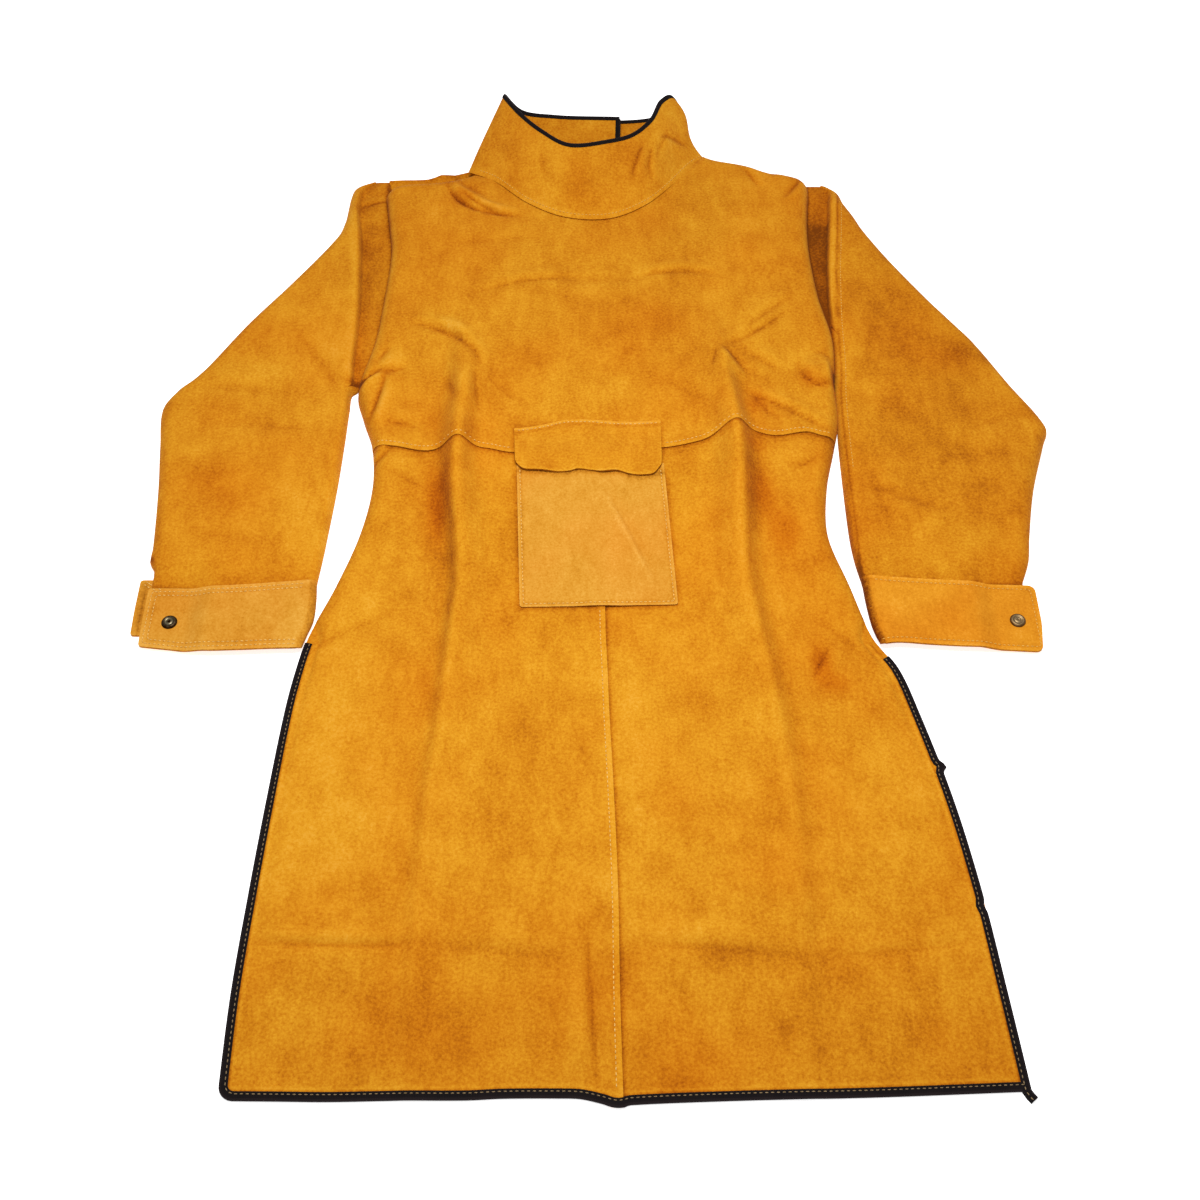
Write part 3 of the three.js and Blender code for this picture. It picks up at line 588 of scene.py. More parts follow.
# The left snap's place in the frame tells where the garment's own zero lies there
low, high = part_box("snap_left")
MIDDLE = np.array(((low.x + high.x) / 2, (low.y + high.y) / 2, 0)) / MM
SHIFT = MIDDLE - np.array((*CUFFS["left"]["snap"], 0))


def placed(points):
    """Places on the garment in metres of the shared frame."""
    return (np.asarray(points, float) + SHIFT) * MM


def at(rows, column, place, along="y"):
    """Values of a column at places along a table, on a smooth line through its rows."""
    stops, values = rows[along], rows[column]
    slopes = np.gradient(values, stops)
    slopes[1:-1] = (values[2:] - values[:-2]) / (stops[2:] - stops[:-2])
    place = np.clip(place, stops[0], stops[-1])
    i = np.clip(np.searchsorted(stops, place, side="right") - 1, 0, len(stops) - 2)
    span = stops[i + 1] - stops[i]
    t = (place - stops[i]) / span
    held = values[i] * (1 + 2 * t) * (1 - t) ** 2 + values[i + 1] * t**2 * (3 - 2 * t)
    return held + span * t * (1 - t) * ((1 - t) * slopes[i] - t * slopes[i + 1])


def smooth(value, start, stop):
    """Share from 0 at the start to 1 at the stop, eased at both."""
    t = np.clip((value - start) / (stop - start), 0, 1)
    return t * t * (3 - 2 * t)


def mix(first, second, share):
    """Value at a share of the way from the first to the second."""
    return first + (second - first) * share


def bell(distance, width):
    """Share that falls from 1 at no distance to almost none at twice the width."""
    return np.exp(-((distance / width) ** 2))


def unit(ways):
    """Ways of length one."""
    return ways / np.linalg.norm(ways, axis=1)[:, None]


def rolled(share):
    """Height share of an edge that rolls over like a quarter of an ellipse."""
    return np.sqrt(1 - (1 - np.clip(share, 0, 1)) ** 2)


def crowd_ends(t):
    """Shares drawn together at both ends."""
    return t - CROWD_ENDS * np.sin(2 * np.pi * t) / (2 * np.pi)


def crowd_far(t):
    """Shares drawn together at the far end."""
    return t + CROWD_FAR * np.sin(np.pi * t) / np.pi


def round_corner(a, b, radius):
    """Distances from two edges that meet, moved so that their corner becomes an arc."""
    p, q = np.maximum(radius - a, 0), np.maximum(radius - b, 0)
    shrink = np.maximum(p, q) / np.maximum(np.hypot(p, q), 1e-9)
    inside = (p > 0) & (q > 0)
    return np.where(inside, radius - p * shrink, a), np.where(inside, radius - q * shrink, b)


def creased(lines, x, y):
    """Height of pressed creases with a raised lip, and their painted shade and highlight."""
    height, painted_light_and_wear = np.zeros_like(x), np.zeros_like(x)
    for x0, y0, x1, y1, bow, width, depth, lip in zip(*lines.values()):
        length = math.hypot(x1 - x0, y1 - y0)
        along_x, along_y = (x1 - x0) / length, (y1 - y0) / length
        t = np.clip(((x - x0) * along_x + (y - y0) * along_y) / length, 0, 1)
        off = (y - y0) * along_x - (x - x0) * along_y - bow * 4 * t * (1 - t)
        fade = np.sin(np.pi * t) ** CREASE_FORM["fade"]
        valley = bell(off, width) * fade
        raised = bell(off - lip * CREASE_FORM["lip_at"] * width, CREASE_FORM["lip_width"] * width) * fade
        line = bell(off, max(CREASE_FORM["line_width"] * width, CREASE_FORM["least_line"])) * fade
        height += depth * (CREASE_FORM["lip"] * raised - valley)
        worn = CREASE_LIGHT_AND_SHADE["lip"] * raised - CREASE_LIGHT_AND_SHADE["line"] * line - CREASE_LIGHT_AND_SHADE["valley"] * valley
        painted_light_and_wear += min(depth / CREASE_LIGHT_AND_SHADE["full_depth"], CREASE_LIGHT_AND_SHADE["most"]) * worn
    return height, painted_light_and_wear


def toned(zones, x, y):
    """Sums of soft zones: painted shade, light and nap tone, and a warmer tint for painted shade and dyeing.
    """
    tone, warm = np.zeros_like(x), np.zeros_like(x)
    for x0, y0, across, along, paler, warmer in zip(*zones.values()):
        zone = bell(x - x0, across) * bell(y - y0, along)
        tone += paler * zone
        warm += warmer * zone
    return tone, warm


def edge_lines(distance, name):
    """Painted highlight along one line and painted shade along another, at distances from an edge."""
    pale, pale_at, pale_width, dark, dark_at, dark_width = EDGE_LINES[name]
    return pale * bell(distance - pale_at, pale_width) - dark * bell(distance - dark_at, dark_width)


def slack(x, y):
    """Gentle unevenness of limp leather: broad waves, and finer ones across them."""
    broad = 0.55 * np.sin(x / 31 + 1.3 * np.sin(y / 57)) * np.sin(y / 43 + 0.8 * np.sin(x / 71))
    return broad + 0.3 * np.sin((x + 0.6 * y) / 17 + 1.1 * np.sin(y / 37) + 0.9 * np.sin(x / 23))


def fold_share(distance, y, side):
    """Share of a soft fold's height at a distance from its line, positive towards the side."""
    width = np.where(distance > 0, at(FOLD_OUTER, side, y), at(FOLD_INNER, side, y))
    return bell(distance, width)


def bodice_top(x):
    """Upper limit of the bodice at places across it."""
    left, right = (at(SHOULDERS[side], "y", x, "x") for side in ("left", "right"))
    neck = at(NECKLINE, "y", x, "x")
    return np.where(x < NECKLINE["x"][0], left, np.where(x > NECKLINE["x"][-1], right, neck))


def shoulder_share(x):
    """Share of shoulder, from 0 along the neckline to 1 along the shoulders."""
    left = smooth(NECKLINE["x"][0] - x, -SHOULDER_BLEND, SHOULDER_BLEND)
    return np.maximum(left, smooth(x - NECKLINE["x"][-1], -SHOULDER_BLEND, SHOULDER_BLEND))


def from_sides(x, y):
    """Distance from the nearer side of the front, and the width that the tape holds flat there."""
    side = np.minimum(x - at(FRONT, "left", y), at(FRONT, "right", y) - x)
    return side, TAPE_STRIP * (1 - smooth(y, *TAPE_END))


def front_height(x, y):
    """Height of the front's middle layer above the floor."""
    folds = fold_share(at(FRONT, "fold_left", y) - x, y, "left")
    folds = folds + fold_share(x - at(FRONT, "fold_right", y), y, "right")
    full = at(FRONT, "level", y) + at(FRONT, "rise", y) * folds
    side, bound = from_sides(x, y)
    edge = at(FRONT, "edge", y)
    sided = edge + (full - edge) * rolled((side - bound) / SIDE_ROLL)
    above = np.maximum(sided - SHOULDER_EDGE, 0) * rolled((bodice_top(x) - y) / SHOULDER_ROLL)
    return mix(sided, np.minimum(SHOULDER_EDGE + above, sided), shoulder_share(x))


def front_relief(x, y):
    """Creases, the knob by the right armhole and slack of the front; painted light and shade, nap tone and
    warmth.
    """
    height, painted_light_and_wear = creased(FRONT_CREASES, x, y)
    height += KNOB["height"] * bell(x - KNOB["x"], KNOB["radius"]) * bell(y - KNOB["y"], KNOB["radius"])
    tone, shade_warmth_and_dye = toned(FRONT_TONES, x, y)
    painted_light_and_wear += tone - HEM_DARKENING["dark"] * (1 - smooth(y, *HEM_DARKENING["to"]))
    # Painted highlight on each long fold's crest, painted shade on its outer side
    pale = FOLD_CREST["pale"] + FOLD_CREST_ABOVE["pale"] * smooth(y, *FOLD_CREST_ABOVE["from"])
    pale = pale * smooth(y, *FOLD_CREST["from"]) * (1 - smooth(y, *FOLD_CREST["to"]))
    dark = FOLD_SHADE["dark"] * smooth(y, *FOLD_SHADE["from"])
    dark = dark + FOLD_SHADE_ABOVE["dark"] * smooth(y, *FOLD_SHADE_ABOVE["from"])
    dark = dark * (1 - smooth(y, *FOLD_SHADE["to"]))
    near, full = FOLD_SHADE["outside"]
    for away in (at(FRONT, "fold_left", y) - x, x - at(FRONT, "fold_right", y)):
        painted_light_and_wear += pale * bell(away + FOLD_CREST["inside"], FOLD_CREST["width"])
        painted_light_and_wear -= dark * smooth(away, near, full) * bell(np.maximum(away - full, 0), FOLD_SHADE["width"])
    side, bound = from_sides(x, y)
    # Painted shade along the rolled sides; painted highlight and painted shade along the armholes
    painted_light_and_wear -= SIDE_SHADE["dark"] * (1 - smooth(side, *SIDE_SHADE["to"]))
    painted_light_and_wear += smooth(y, *ARMHOLE_FROM) * edge_lines(side, "armhole")
    height = height * smooth(side - bound, *RELIEF_EASE) + slack(x, y) * smooth(side - bound, *SLACK_EASE)
    return height, painted_light_and_wear, shade_warmth_and_dye


def across_front(lines, u, y):
    """Places across the front at shares of the way through its lines, crowded at each line."""
    strips = len(lines) - 1
    strip = np.minimum((u * strips).astype(int), strips - 1)
    edges = np.stack([at(FRONT, line, y) for line in lines])
    start = np.take_along_axis(edges, strip[None], 0)[0]
    stop = np.take_along_axis(edges, strip[None] + 1, 0)[0]
    return mix(start, stop, crowd_ends(u * strips - strip))


def waist_at(x):
    """Height up the garment of the waist seam."""
    return at(WAIST, "y", x, "x")


def bodice_surface(u, v):
    """Front from just under the waist seam to the shoulders and in under the collar."""
    lines = ("left", "fold_left", "centre", "fold_right", "right")
    start = waist_at(across_front(lines, u, np.full_like(u, WAIST["y"][0]))) - WAIST_LAP["over"]
    top_x = across_front(lines, u, np.full_like(u, FRONT["y"][-1]))
    stop = bodice_top(top_x) + NECK_TUCK * (1 - shoulder_share(top_x))
    y = mix(start, stop, crowd_far(v))
    x = across_front(lines, u, y)
    relief, painted_light_and_wear, shade_warmth_and_dye = front_relief(x, y)
    lapped = WAIST_LAP["rise"] * (1 - smooth(y - waist_at(x), 0, WAIST_LAP["rise_ease"]))
    ends = smooth(stop - y, *BODICE_ENDS["top"]) * smooth(y - start, *BODICE_ENDS["waist"])
    # Painted highlight along the bodice's lapped lower edge, painted shadow beside the flap
    painted_light_and_wear += WAIST_LIGHT_AND_SHADOW["pale"] * (1 - smooth(y - start, *WAIST_LIGHT_AND_SHADOW["pale_in"])) + beside_flap(x, y)
    height = np.maximum(front_height(x, y) + lapped + relief * ends, LEAST_FRONT)
    return np.stack((x, y, height), 1), {"painted_light_and_wear": painted_light_and_wear, "shade_warmth_and_dye": shade_warmth_and_dye}


def beside_pouch(x, y):
    """Shade just outside the pouch's edges."""
    (x0, y0), (x1, y1) = POUCH["bottom"]
    (x2, y2), (x3, _) = POUCH["top"]
    up = np.clip((y - y0) / (y2 - y0), 0, 1)
    out = np.maximum(mix(x0, x2, up) - x, x - mix(x1, x3, up))
    down = mix(y0, y1, np.clip((x - x0) / (x1 - x0), 0, 1)) - y
    gap = np.hypot(np.maximum(out, 0), np.maximum(down, 0))
    shade = POUCH_SHADE["around"] * (1 - smooth(y, y2 - POUCH_SHADE["around_to"], y2))
    return -shade * bell(gap, POUCH_SHADE["around_width"])


def beside_flap(x, y):
    """Shade just outside the flap's two sides."""
    up = smooth(y, *FLAP_SHADE["y"])
    out = np.maximum(mix(FLAP_SIDES["low"][0], FLAP_SIDES["top"][0], up) - x, x - FLAP_SIDES["top"][1])
    shade = mix(FLAP_SHADE["low"], FLAP_SHADE["top"], up)
    shade = shade * smooth(y, *FLAP_SHADE["from"]) * (1 - smooth(y, *FLAP_SHADE["to"]))
    return -shade * bell(np.maximum(out, 0), FLAP_SHADE["width"])


def skirt_surface(side):
    """Half of the skirt from the hem to just under the bodice, left half over the right one."""
    lines = ("left", "fold_left", "centre") if side == "left" else ("centre", "fold_right", "right")

    def surface(u, v):
        start = at(HEM, "y", across_front(lines, u, np.full_like(u, HEM["y"][0])), "x")
        stop = waist_at(across_front(lines, u, np.full_like(u, WAIST["y"][0]))) + WAIST_LAP["under"]
        y = mix(start, stop, v)
        x = across_front(lines, u, y)
        x = x + CENTRE_LAP["over"] * u if side == "left" else x - CENTRE_LAP["under"] * (1 - u)
        if side == "left":
            edge = at(FRONT, "left", y)
            inset, raised = round_corner(x - edge, y - start, CORNER_ROUND)
            x, y = edge + inset, start + raised
        relief, painted_light_and_wear, shade_warmth_and_dye = front_relief(x, y)
        centre = x - at(FRONT, "centre", y)
        seam = CENTRE_LAP["rise"] * smooth(centre, -CENTRE_LAP["ease"], 0)
        if side == "right":
            seam = -CENTRE_LAP["sink"] * (1 - smooth(centre, 0, CENTRE_LAP["ease"]))
        sunk = WAIST_LAP["sink"] * smooth(y - waist_at(x), -WAIST_LAP["sink_ease"], 0)
        ends = smooth(y - start, *SKIRT_ENDS["hem"])
        ends = ends * (1 - SKIRT_ENDS["held"] * (1 - smooth(np.abs(centre), *SKIRT_ENDS["centre"])))
        lapped = centre - CENTRE_LAP["over"]
        # Painted highlight along the left half's lapped edge and painted shadow beside it on the right half,
        # painted shadow under the bodice's edge, painted highlight and shadow along the tape, painted shadow
        # round the pocket
        if side == "left":
            painted_light_and_wear += CENTRE_LIGHT_AND_SHADOW["pale"] * smooth(lapped, *CENTRE_LIGHT_AND_SHADOW["pale_in"])
        else:
            painted_light_and_wear -= CENTRE_LIGHT_AND_SHADOW["dark"] * bell(lapped, CENTRE_LIGHT_AND_SHADOW["dark_width"])
        below = waist_at(x) - WAIST_LAP["over"] - y
        even = WAIST_LIGHT_AND_SHADOW["even_from"]
        dark = WAIST_LIGHT_AND_SHADOW["dark"] * bell(np.minimum(below, even), WAIST_LIGHT_AND_SHADOW["dark_width"])
        painted_light_and_wear -= dark * (below > -even) * (below < WAIST_LIGHT_AND_SHADOW["dark_to"])
        beside = np.where(y < TAPE_END[0], np.abs(x - at(FRONT, side, y)), FAR)
        painted_light_and_wear += edge_lines(np.minimum(beside, y - start) - TAPE_FACE, "tape")
        painted_light_and_wear += beside_pouch(x, y) + beside_flap(x, y)
        height = front_height(x, y) + seam - sunk + relief * ends
        return np.stack((x, y, np.maximum(height, LEAST_SKIRT)), 1), {"painted_light_and_wear": painted_light_and_wear, "shade_warmth_and_dye": shade_warmth_and_dye}

    return surface


def back_surface(side):
    """Hidden back panel on the floor, its opening edge lifted for the tape and its shoulder turned up."""
    lift = BACK_LAP["lift"] if side == "left" else 0

    def surface(u, v):
        def across(y):
            return mix(at(FRONT, side, y), at(BACK, side, y), crowd_ends(u))

        top = at(BACK_TOP, "y", across(np.full_like(u, BACK_TAPE["to"])), "x")
        y = mix(BACK["y"][0], top, crowd_far(v))
        x = across(y)
        lapped = smooth(y, *BACK_LAP["y"]) * smooth(x, *BACK_LAP["x"])
        inside = np.abs(at(BACK, side, y) - x)
        lifted = 1 - smooth(inside, BACK_TAPE["level"], BACK_TAPE["eased"])
        turned = (1 - np.clip((top - y) / SHOULDER_ROLL, 0, 1)) ** 2
        raised = BACK_TAPE["lift"] * lifted + at(BACK_TOP, "rise", x, "x") * turned
        # Painted shade on the turned-up shoulder
        more = BACK_SHADE["more"] * bell(x - BACK_SHADE["more_x"], BACK_SHADE["more_width"])
        dark = (BACK_SHADE["dark"] + more) * turned * shoulder_share(x)
        return np.stack((x, y, FLOOR_PLY + lift * lapped + raised), 1), {"painted_light_and_wear": -dark}

    return surface


def cuff_height(cuff, x):
    """Height of a cuff's upper ply, pinched down beside its snap, and how open the cuff is there."""
    opened = smooth(np.abs(x - cuff["upper"]), CUFF_PLIES["flat"], CUFF_PLIES["open"])
    return mix(CUFF_PLIES["pinched_upper"], CUFF_PLIES["upper"], opened), opened


def cuff_edge(cuff, edge, x):
    """Height up the garment of a cuff's bottom or top edge."""
    return at(cuff["edges"], edge, x, "x")


def sleeve_surface(side):
    """Sleeve folded flat: upper layer with a pleat by the armhole, outer fold, layer on the floor."""
    rows, cuff, lines = SLEEVES[side], CUFFS[side], SLEEVE_CREASES[side]
    out = math.copysign(1, cuff["upper"])

    def surface(u, v):
        upper = u <= SLEEVE_UPPER
        s = np.clip(u / SLEEVE_UPPER, 0, 1)
        w = np.clip((u - SLEEVE_UPPER) / (1 - SLEEVE_UPPER), 0, 1) ** SLEEVE_FLOOR["crowd"]

        def section(y):
            inner, band = at(rows, "inner", y), at(rows, "band", y)
            width = np.abs(at(rows, "outer", y) - inner)
            pleat = np.maximum(band, PLEAT["least"])
            rest = crowd_far(np.maximum(s - PLEAT["columns"], 0) / (1 - PLEAT["columns"]))
            first = np.minimum(s / PLEAT["columns"], 1)
            pleated = smooth(band, PLEAT["from"], PLEAT["full"])
            tuck = PLEAT["tuck"] * pleated * (1 - first)
            reach = pleat * first + (width - pleat) * rest - tuck
            floor_inner = np.maximum(np.abs(inner), np.abs(at(FRONT, side, y)) + SLEEVE_FLOOR["gap"])
            floor_reach = mix(width, floor_inner - np.abs(inner), w)
            reach = np.where(upper, reach, floor_reach)
            return inner + out * reach, reach, width, pleat, pleated

        bottom = np.full_like(u, rows["y"][0])
        x0 = section(bottom)[0]
        _, opened = cuff_height(cuff, x0)
        tucked = SLEEVE_TUCK * opened * upper * smooth(1 - s, 0, SLEEVE_START["outer"])
        start = cuff_edge(cuff, "top", x0) + SLEEVE_START["above"] - tucked
        y = mix(start, rows["y"][-1], crowd_far(v))
        x, reach, width, pleat, pleated = section(y)
        within, below = width - reach, rows["y"][-1] - y
        share = reach / pleat
        inner_rise = mix(rolled(share), smooth(share, PLEAT["foot"], 1), pleated)
        edge = at(rows, "edge", y)
        raised = edge + (at(rows, "level", y) - edge) * inner_rise
        low_edge = rows["edge"][0]
        relief, painted_light_and_wear = creased(lines, x, y)
        free = smooth(within, *SLEEVE_FREE["side"]) * smooth(reach, *SLEEVE_FREE["side"])
        free = free * smooth(y - start, *SLEEVE_FREE["cuff"]) * smooth(below, *SLEEVE_FREE["top"])
        z = low_edge + (raised - low_edge) * rolled(within / SIDE_ROLL) + (relief + slack(x, y)) * free
        ply, opened = cuff_height(cuff, x)
        meet = np.minimum(z, mix(ply, ply - SLEEVE_MEET["under"], opened))
        above = y - cuff_edge(cuff, "top", x)
        z = mix(meet, z, smooth(above, *SLEEVE_MEET["ease"]))
        shut = (1 - np.clip(below / SLEEVE_FLOOR["shut"], 0, 1)) ** 2
        floor_z = low_edge - (low_edge - FLOOR_PLY) * rolled(within / SLEEVE_FLOOR["roll"])
        floor_z = floor_z + SLEEVE_FLOOR["rise"] * shut

        # Painted shadow in the pleat and painted highlight on its lip; painted shade beside the front, along
        # the outer fold, above the cuff and along the right sleeve's inner edge
        depth, even, top = SLEEVE_BANDS[side]
        depth = mix(depth, depth * top, smooth(y, *SLEEVE_BAND_STEP))
        shadow = mix(smooth(share, *PLEAT_LIGHT_AND_SHADE["in"]), 1, even) * (1 - smooth(share, *PLEAT_LIGHT_AND_SHADE["out"]))
        lip = PLEAT_LIGHT_AND_SHADE["pale"] * bell(share - PLEAT_LIGHT_AND_SHADE["pale_at"], PLEAT_LIGHT_AND_SHADE["pale_width"])
        tone, shade_warmth_and_dye = toned(SLEEVE_TONES[side], x, y)
        painted_light_and_wear = painted_light_and_wear + tone + pleated * (lip - depth * shadow)
        beside = bell(np.maximum(np.abs(x) - np.abs(at(FRONT, side, y)), 0), BESIDE_FRONT["width"])
        painted_light_and_wear = painted_light_and_wear - BESIDE_FRONT["dark"] * beside * smooth(y, *BESIDE_FRONT["from"])
        painted_light_and_wear = painted_light_and_wear - SLEEVE_OUTER["dark"] * (1 - smooth(within, *SLEEVE_OUTER["to"]))
        seam = bell(np.minimum(above, ABOVE_CUFF["even_from"]), ABOVE_CUFF["width"])
        painted_light_and_wear = painted_light_and_wear - ABOVE_CUFF["dark"] * seam * (above < ABOVE_CUFF["to"])
        if side == "right":
            inner = bell(reach, RIGHT_INNER["width"]) * (1 - smooth(y, *RIGHT_INNER["to"]))
            painted_light_and_wear = painted_light_and_wear - RIGHT_INNER["dark"] * inner + edge_lines(x - at(SLEEVE_STRIP, "x", y), "strip")
        return np.stack((x, y, np.where(upper, z, floor_z)), 1), {"painted_light_and_wear": np.where(upper, painted_light_and_wear, 0), "shade_warmth_and_dye": shade_warmth_and_dye}

    return surface


def cuff_surface(side):
    """Cuff band: upper ply, turn at the inner fold, under ply, both pinched together at the snap."""
    cuff = CUFFS[side]
    out = math.copysign(1, cuff["upper"])
    floor_ply = (CUFF_WALL + CUFF_LIFT) / 2
    radius = (CUFF_PLIES["upper"] - floor_ply) / 2
    share = CUFF_PLIES["share"]

    def surface(u, v):
        turn = at(cuff["fold"], "x", v, "v") + out * radius
        upper, under = u <= share, u >= 1 - share
        angle = np.pi * (np.clip(u, share, 1 - share) - share) / (1 - 2 * share)
        splay = out * cuff["splay"] * (1 - smooth(v, *CUFF_SPLAY))
        end = np.where(upper, cuff["upper"], cuff["under"]) - splay
        flat_x = mix(end, turn, np.where(upper, u, 1 - u) / share)
        x = np.where(upper | under, flat_x, turn - out * radius * np.sin(angle))
        bottom, top = cuff_edge(cuff, "bottom", x), cuff_edge(cuff, "top", x)
        within = np.minimum(v, 1 - v) * (top - bottom)
        inset, across = round_corner(np.abs(x - end), within, cuff["corner"])
        x = np.where(upper | under, end - out * inset, x)
        y = np.where(v < 0.5, bottom + across, top - across)
        y = y + np.where(under, cuff["tab"] * smooth(np.abs(x - turn), *CUFF_TAB), 0)
        ply, opened = cuff_height(cuff, x)
        flat_z = np.where(upper, ply, mix(CUFF_PLIES["pinched_under"], floor_ply, opened))
        z = np.where(upper | under, flat_z, floor_ply + radius * (1 + np.cos(angle)))
        y = y + CUFF_SLANT * (1 - v) * np.maximum(ply - z, 0)
        swell = CUFF_SWELL["rise"] + CUFF_SWELL["ripple"] * np.sin(x / CUFF_SWELL["wave"])
        swell = swell * np.sin(np.pi * v) * smooth(opened, 0, 1)
        free = np.abs(x - end)
        rim = np.minimum(within, np.where(upper, free, FAR))
        # Paler rims; painted shade on the turn, the under ply, along the seam, in the tab's groove and beside
        # the inner fold
        painted_light_and_wear = CUFF_TONE_AND_SHADE["even"] + CUFF_TONE_AND_SHADE["rim"] * (1 - smooth(rim, *CUFF_TONE_AND_SHADE["rim_in"]))
        painted_light_and_wear = painted_light_and_wear - CUFF_TONE_AND_SHADE["turn"] * (1 - upper) * (1 - under) - CUFF_TONE_AND_SHADE["under"] * under
        painted_light_and_wear = painted_light_and_wear - CUFF_LINES["seam"] * bell(rim - CUFF_SEAM[side], CUFF_LINES["seam_width"]) * upper
        groove = bell(free - CUFF_LINES["groove_at"], CUFF_LINES["groove_width"]) * under
        painted_light_and_wear = painted_light_and_wear - CUFF_LINES["groove"] * groove
        painted_light_and_wear = painted_light_and_wear - CUFF_FOLD_SHADE[side] * bell(x - turn + out * radius, CUFF_TONE_AND_SHADE["fold_width"])
        return np.stack((x, y, z + np.where(upper, swell, 0)), 1), {"painted_light_and_wear": painted_light_and_wear}

    return surface


def collar_line(end):
    """Smooth line through the collar sections' bases or rims."""
    points = np.stack([COLLAR[f"{end}_{axis}"] for axis in "xyz"], 1)
    points = np.vstack((2 * points[0] - points[1], points, 2 * points[-1] - points[-2]))
    gaps = np.sqrt(np.linalg.norm(np.diff(points, axis=0), axis=1))

    def line(u):
        way = np.clip(u, 0, 1) * (len(points) - 3)
        i = np.minimum(way.astype(int), len(points) - 4)
        t = (way - i)[:, None]
        p, q, r, s = (points[i + k] for k in range(4))
        d, e, f = (gaps[i + k][:, None] for k in range(3))
        leave = ((q - p) / d - (r - p) / (d + e) + (r - q) / e) * e
        reach = ((r - q) / e - (s - q) / (e + f) + (s - r) / f) * e
        square = 3 * (r - q) - 2 * leave - reach
        return q + leave * t + square * t**2 + (2 * (q - r) + leave + reach) * t**3

    return line


COLLAR_BASE = collar_line("base")
COLLAR_RIM = collar_line("rim")


def collar_surface(u, v):
    """Stand collar from its base, which laps over the bodice, to its rim."""
    base, rim = COLLAR_BASE(u), COLLAR_RIM(u)
    points = mix(base, rim, v[:, None])
    away = unit(base[:, :2] - COLLAR_BULGE["middle"])
    stands = smooth(base[:, 2], *COLLAR_STANDS)
    right = smooth(base[:, 0], *COLLAR_BULGE["right_from"])
    front = stands * smooth(base[:, 0], *COLLAR_BULGE["front_from"]) * (1 - right)
    bulge = COLLAR_BULGE["front"] * front * np.sin(np.pi * v)
    bulge = bulge - COLLAR_BULGE["right"] * right * np.sin(2 * np.pi * v)
    points[:, :2] += away * bulge[:, None]
    dip = COLLAR_DIP["depth"] * smooth(base[:, 2], *COLLAR_DIP["from"])
    points[:, 2] -= dip * (1 - smooth(v, *COLLAR_DIP["to"]))
    height, painted_light_and_wear = creased(COLLAR_CREASES, points[:, 0], points[:, 1])
    swell = COLLAR_SWELL["rise"] * smooth(base[:, 2], *COLLAR_SWELL["from"]) + height * stands
    points[:, 2] += swell * np.sin(np.pi * v)
    # Painted shade and light of the collar's creases and zones where it stands, darker where it lies flat,
    # painted highlight along the ridge of its base
    tone, shade_warmth_and_dye = toned(COLLAR_TONES, points[:, 0], points[:, 1])
    painted_light_and_wear = (painted_light_and_wear + tone) * stands - COLLAR_LIGHT_AND_DARK["lying"] * (1 - stands)
    painted_light_and_wear += COLLAR_LIGHT_AND_DARK["seam"] * bell(v - COLLAR_LIGHT_AND_DARK["seam_at"], COLLAR_LIGHT_AND_DARK["seam_width"])
    return points, {"painted_light_and_wear": painted_light_and_wear, "shade_warmth_and_dye": shade_warmth_and_dye * stands}


def pocket_slack(x, y):
    """Finer and lower unevenness of the pocket's small pieces."""
    return POCKET_SLACK["height"] * slack(POCKET_SLACK["finer"] * x, POCKET_SLACK["finer"] * y)


def pouch_surface(u, v):
    """Pouch stitched down along three edges, a little full in the middle."""
    (x0, y0), (x1, y1) = POUCH["bottom"]
    (x2, y2), (x3, y3) = POUCH["top"]
    width, depth = x1 - x0, y2 - y0
    inset, raised = round_corner(np.minimum(u, 1 - u) * width, v * depth, POUCH["corner"])
    u = np.where(u < 0.5, inset, width - inset) / width
    v = raised / depth
    x = mix(mix(x0, x1, u), mix(x2, x3, u), v)
    y = mix(mix(y0, y1, u), mix(y2, y3, u), v)
    sewn = np.minimum(np.minimum(u, 1 - u) * width, v * depth)
    lifted = smooth(sewn, *POUCH_FORM["sewn"])
    beside = np.abs(x - at(FRONT, "centre", y) - POUCH_STEP["x"])
    step = POUCH_STEP["rise"] * (1 - smooth(beside, *POUCH_STEP["ease"])) * (1 - lifted)
    relief, painted_light_and_wear = creased(POUCH_CREASES, x, y)
    full = POUCH_FORM["fill"] + POUCH_FORM["puff"] * np.sin(np.pi * u) * np.sin(np.pi * v)
    full = full + relief + pocket_slack(x, y)
    z = front_height(x, y) + POUCH_FORM["off"] + step + full * lifted
    # Paler overall and along the rims, painted shade in the seam's groove, painted shadow under the flap
    painted_light_and_wear = painted_light_and_wear + POUCH_TONE_AND_SHADE["even"] + POUCH_TONE_AND_SHADE["rim"] * (1 - smooth(sewn, *POUCH_TONE_AND_SHADE["rim_in"]))
    painted_light_and_wear = painted_light_and_wear - POUCH_TONE_AND_SHADE["seam"] * bell(sewn - POUCH_TONE_AND_SHADE["seam_at"], POUCH_TONE_AND_SHADE["seam_width"])
    low, width = at(FLAP_LOW, "y", x, "x") - y, POUCH_SHADE["flap_width"]
    painted_light_and_wear = painted_light_and_wear - POUCH_SHADE["flap"] * bell(low, width) * (low > -width)
    return np.stack((x, y, z), 1), {"painted_light_and_wear": painted_light_and_wear}


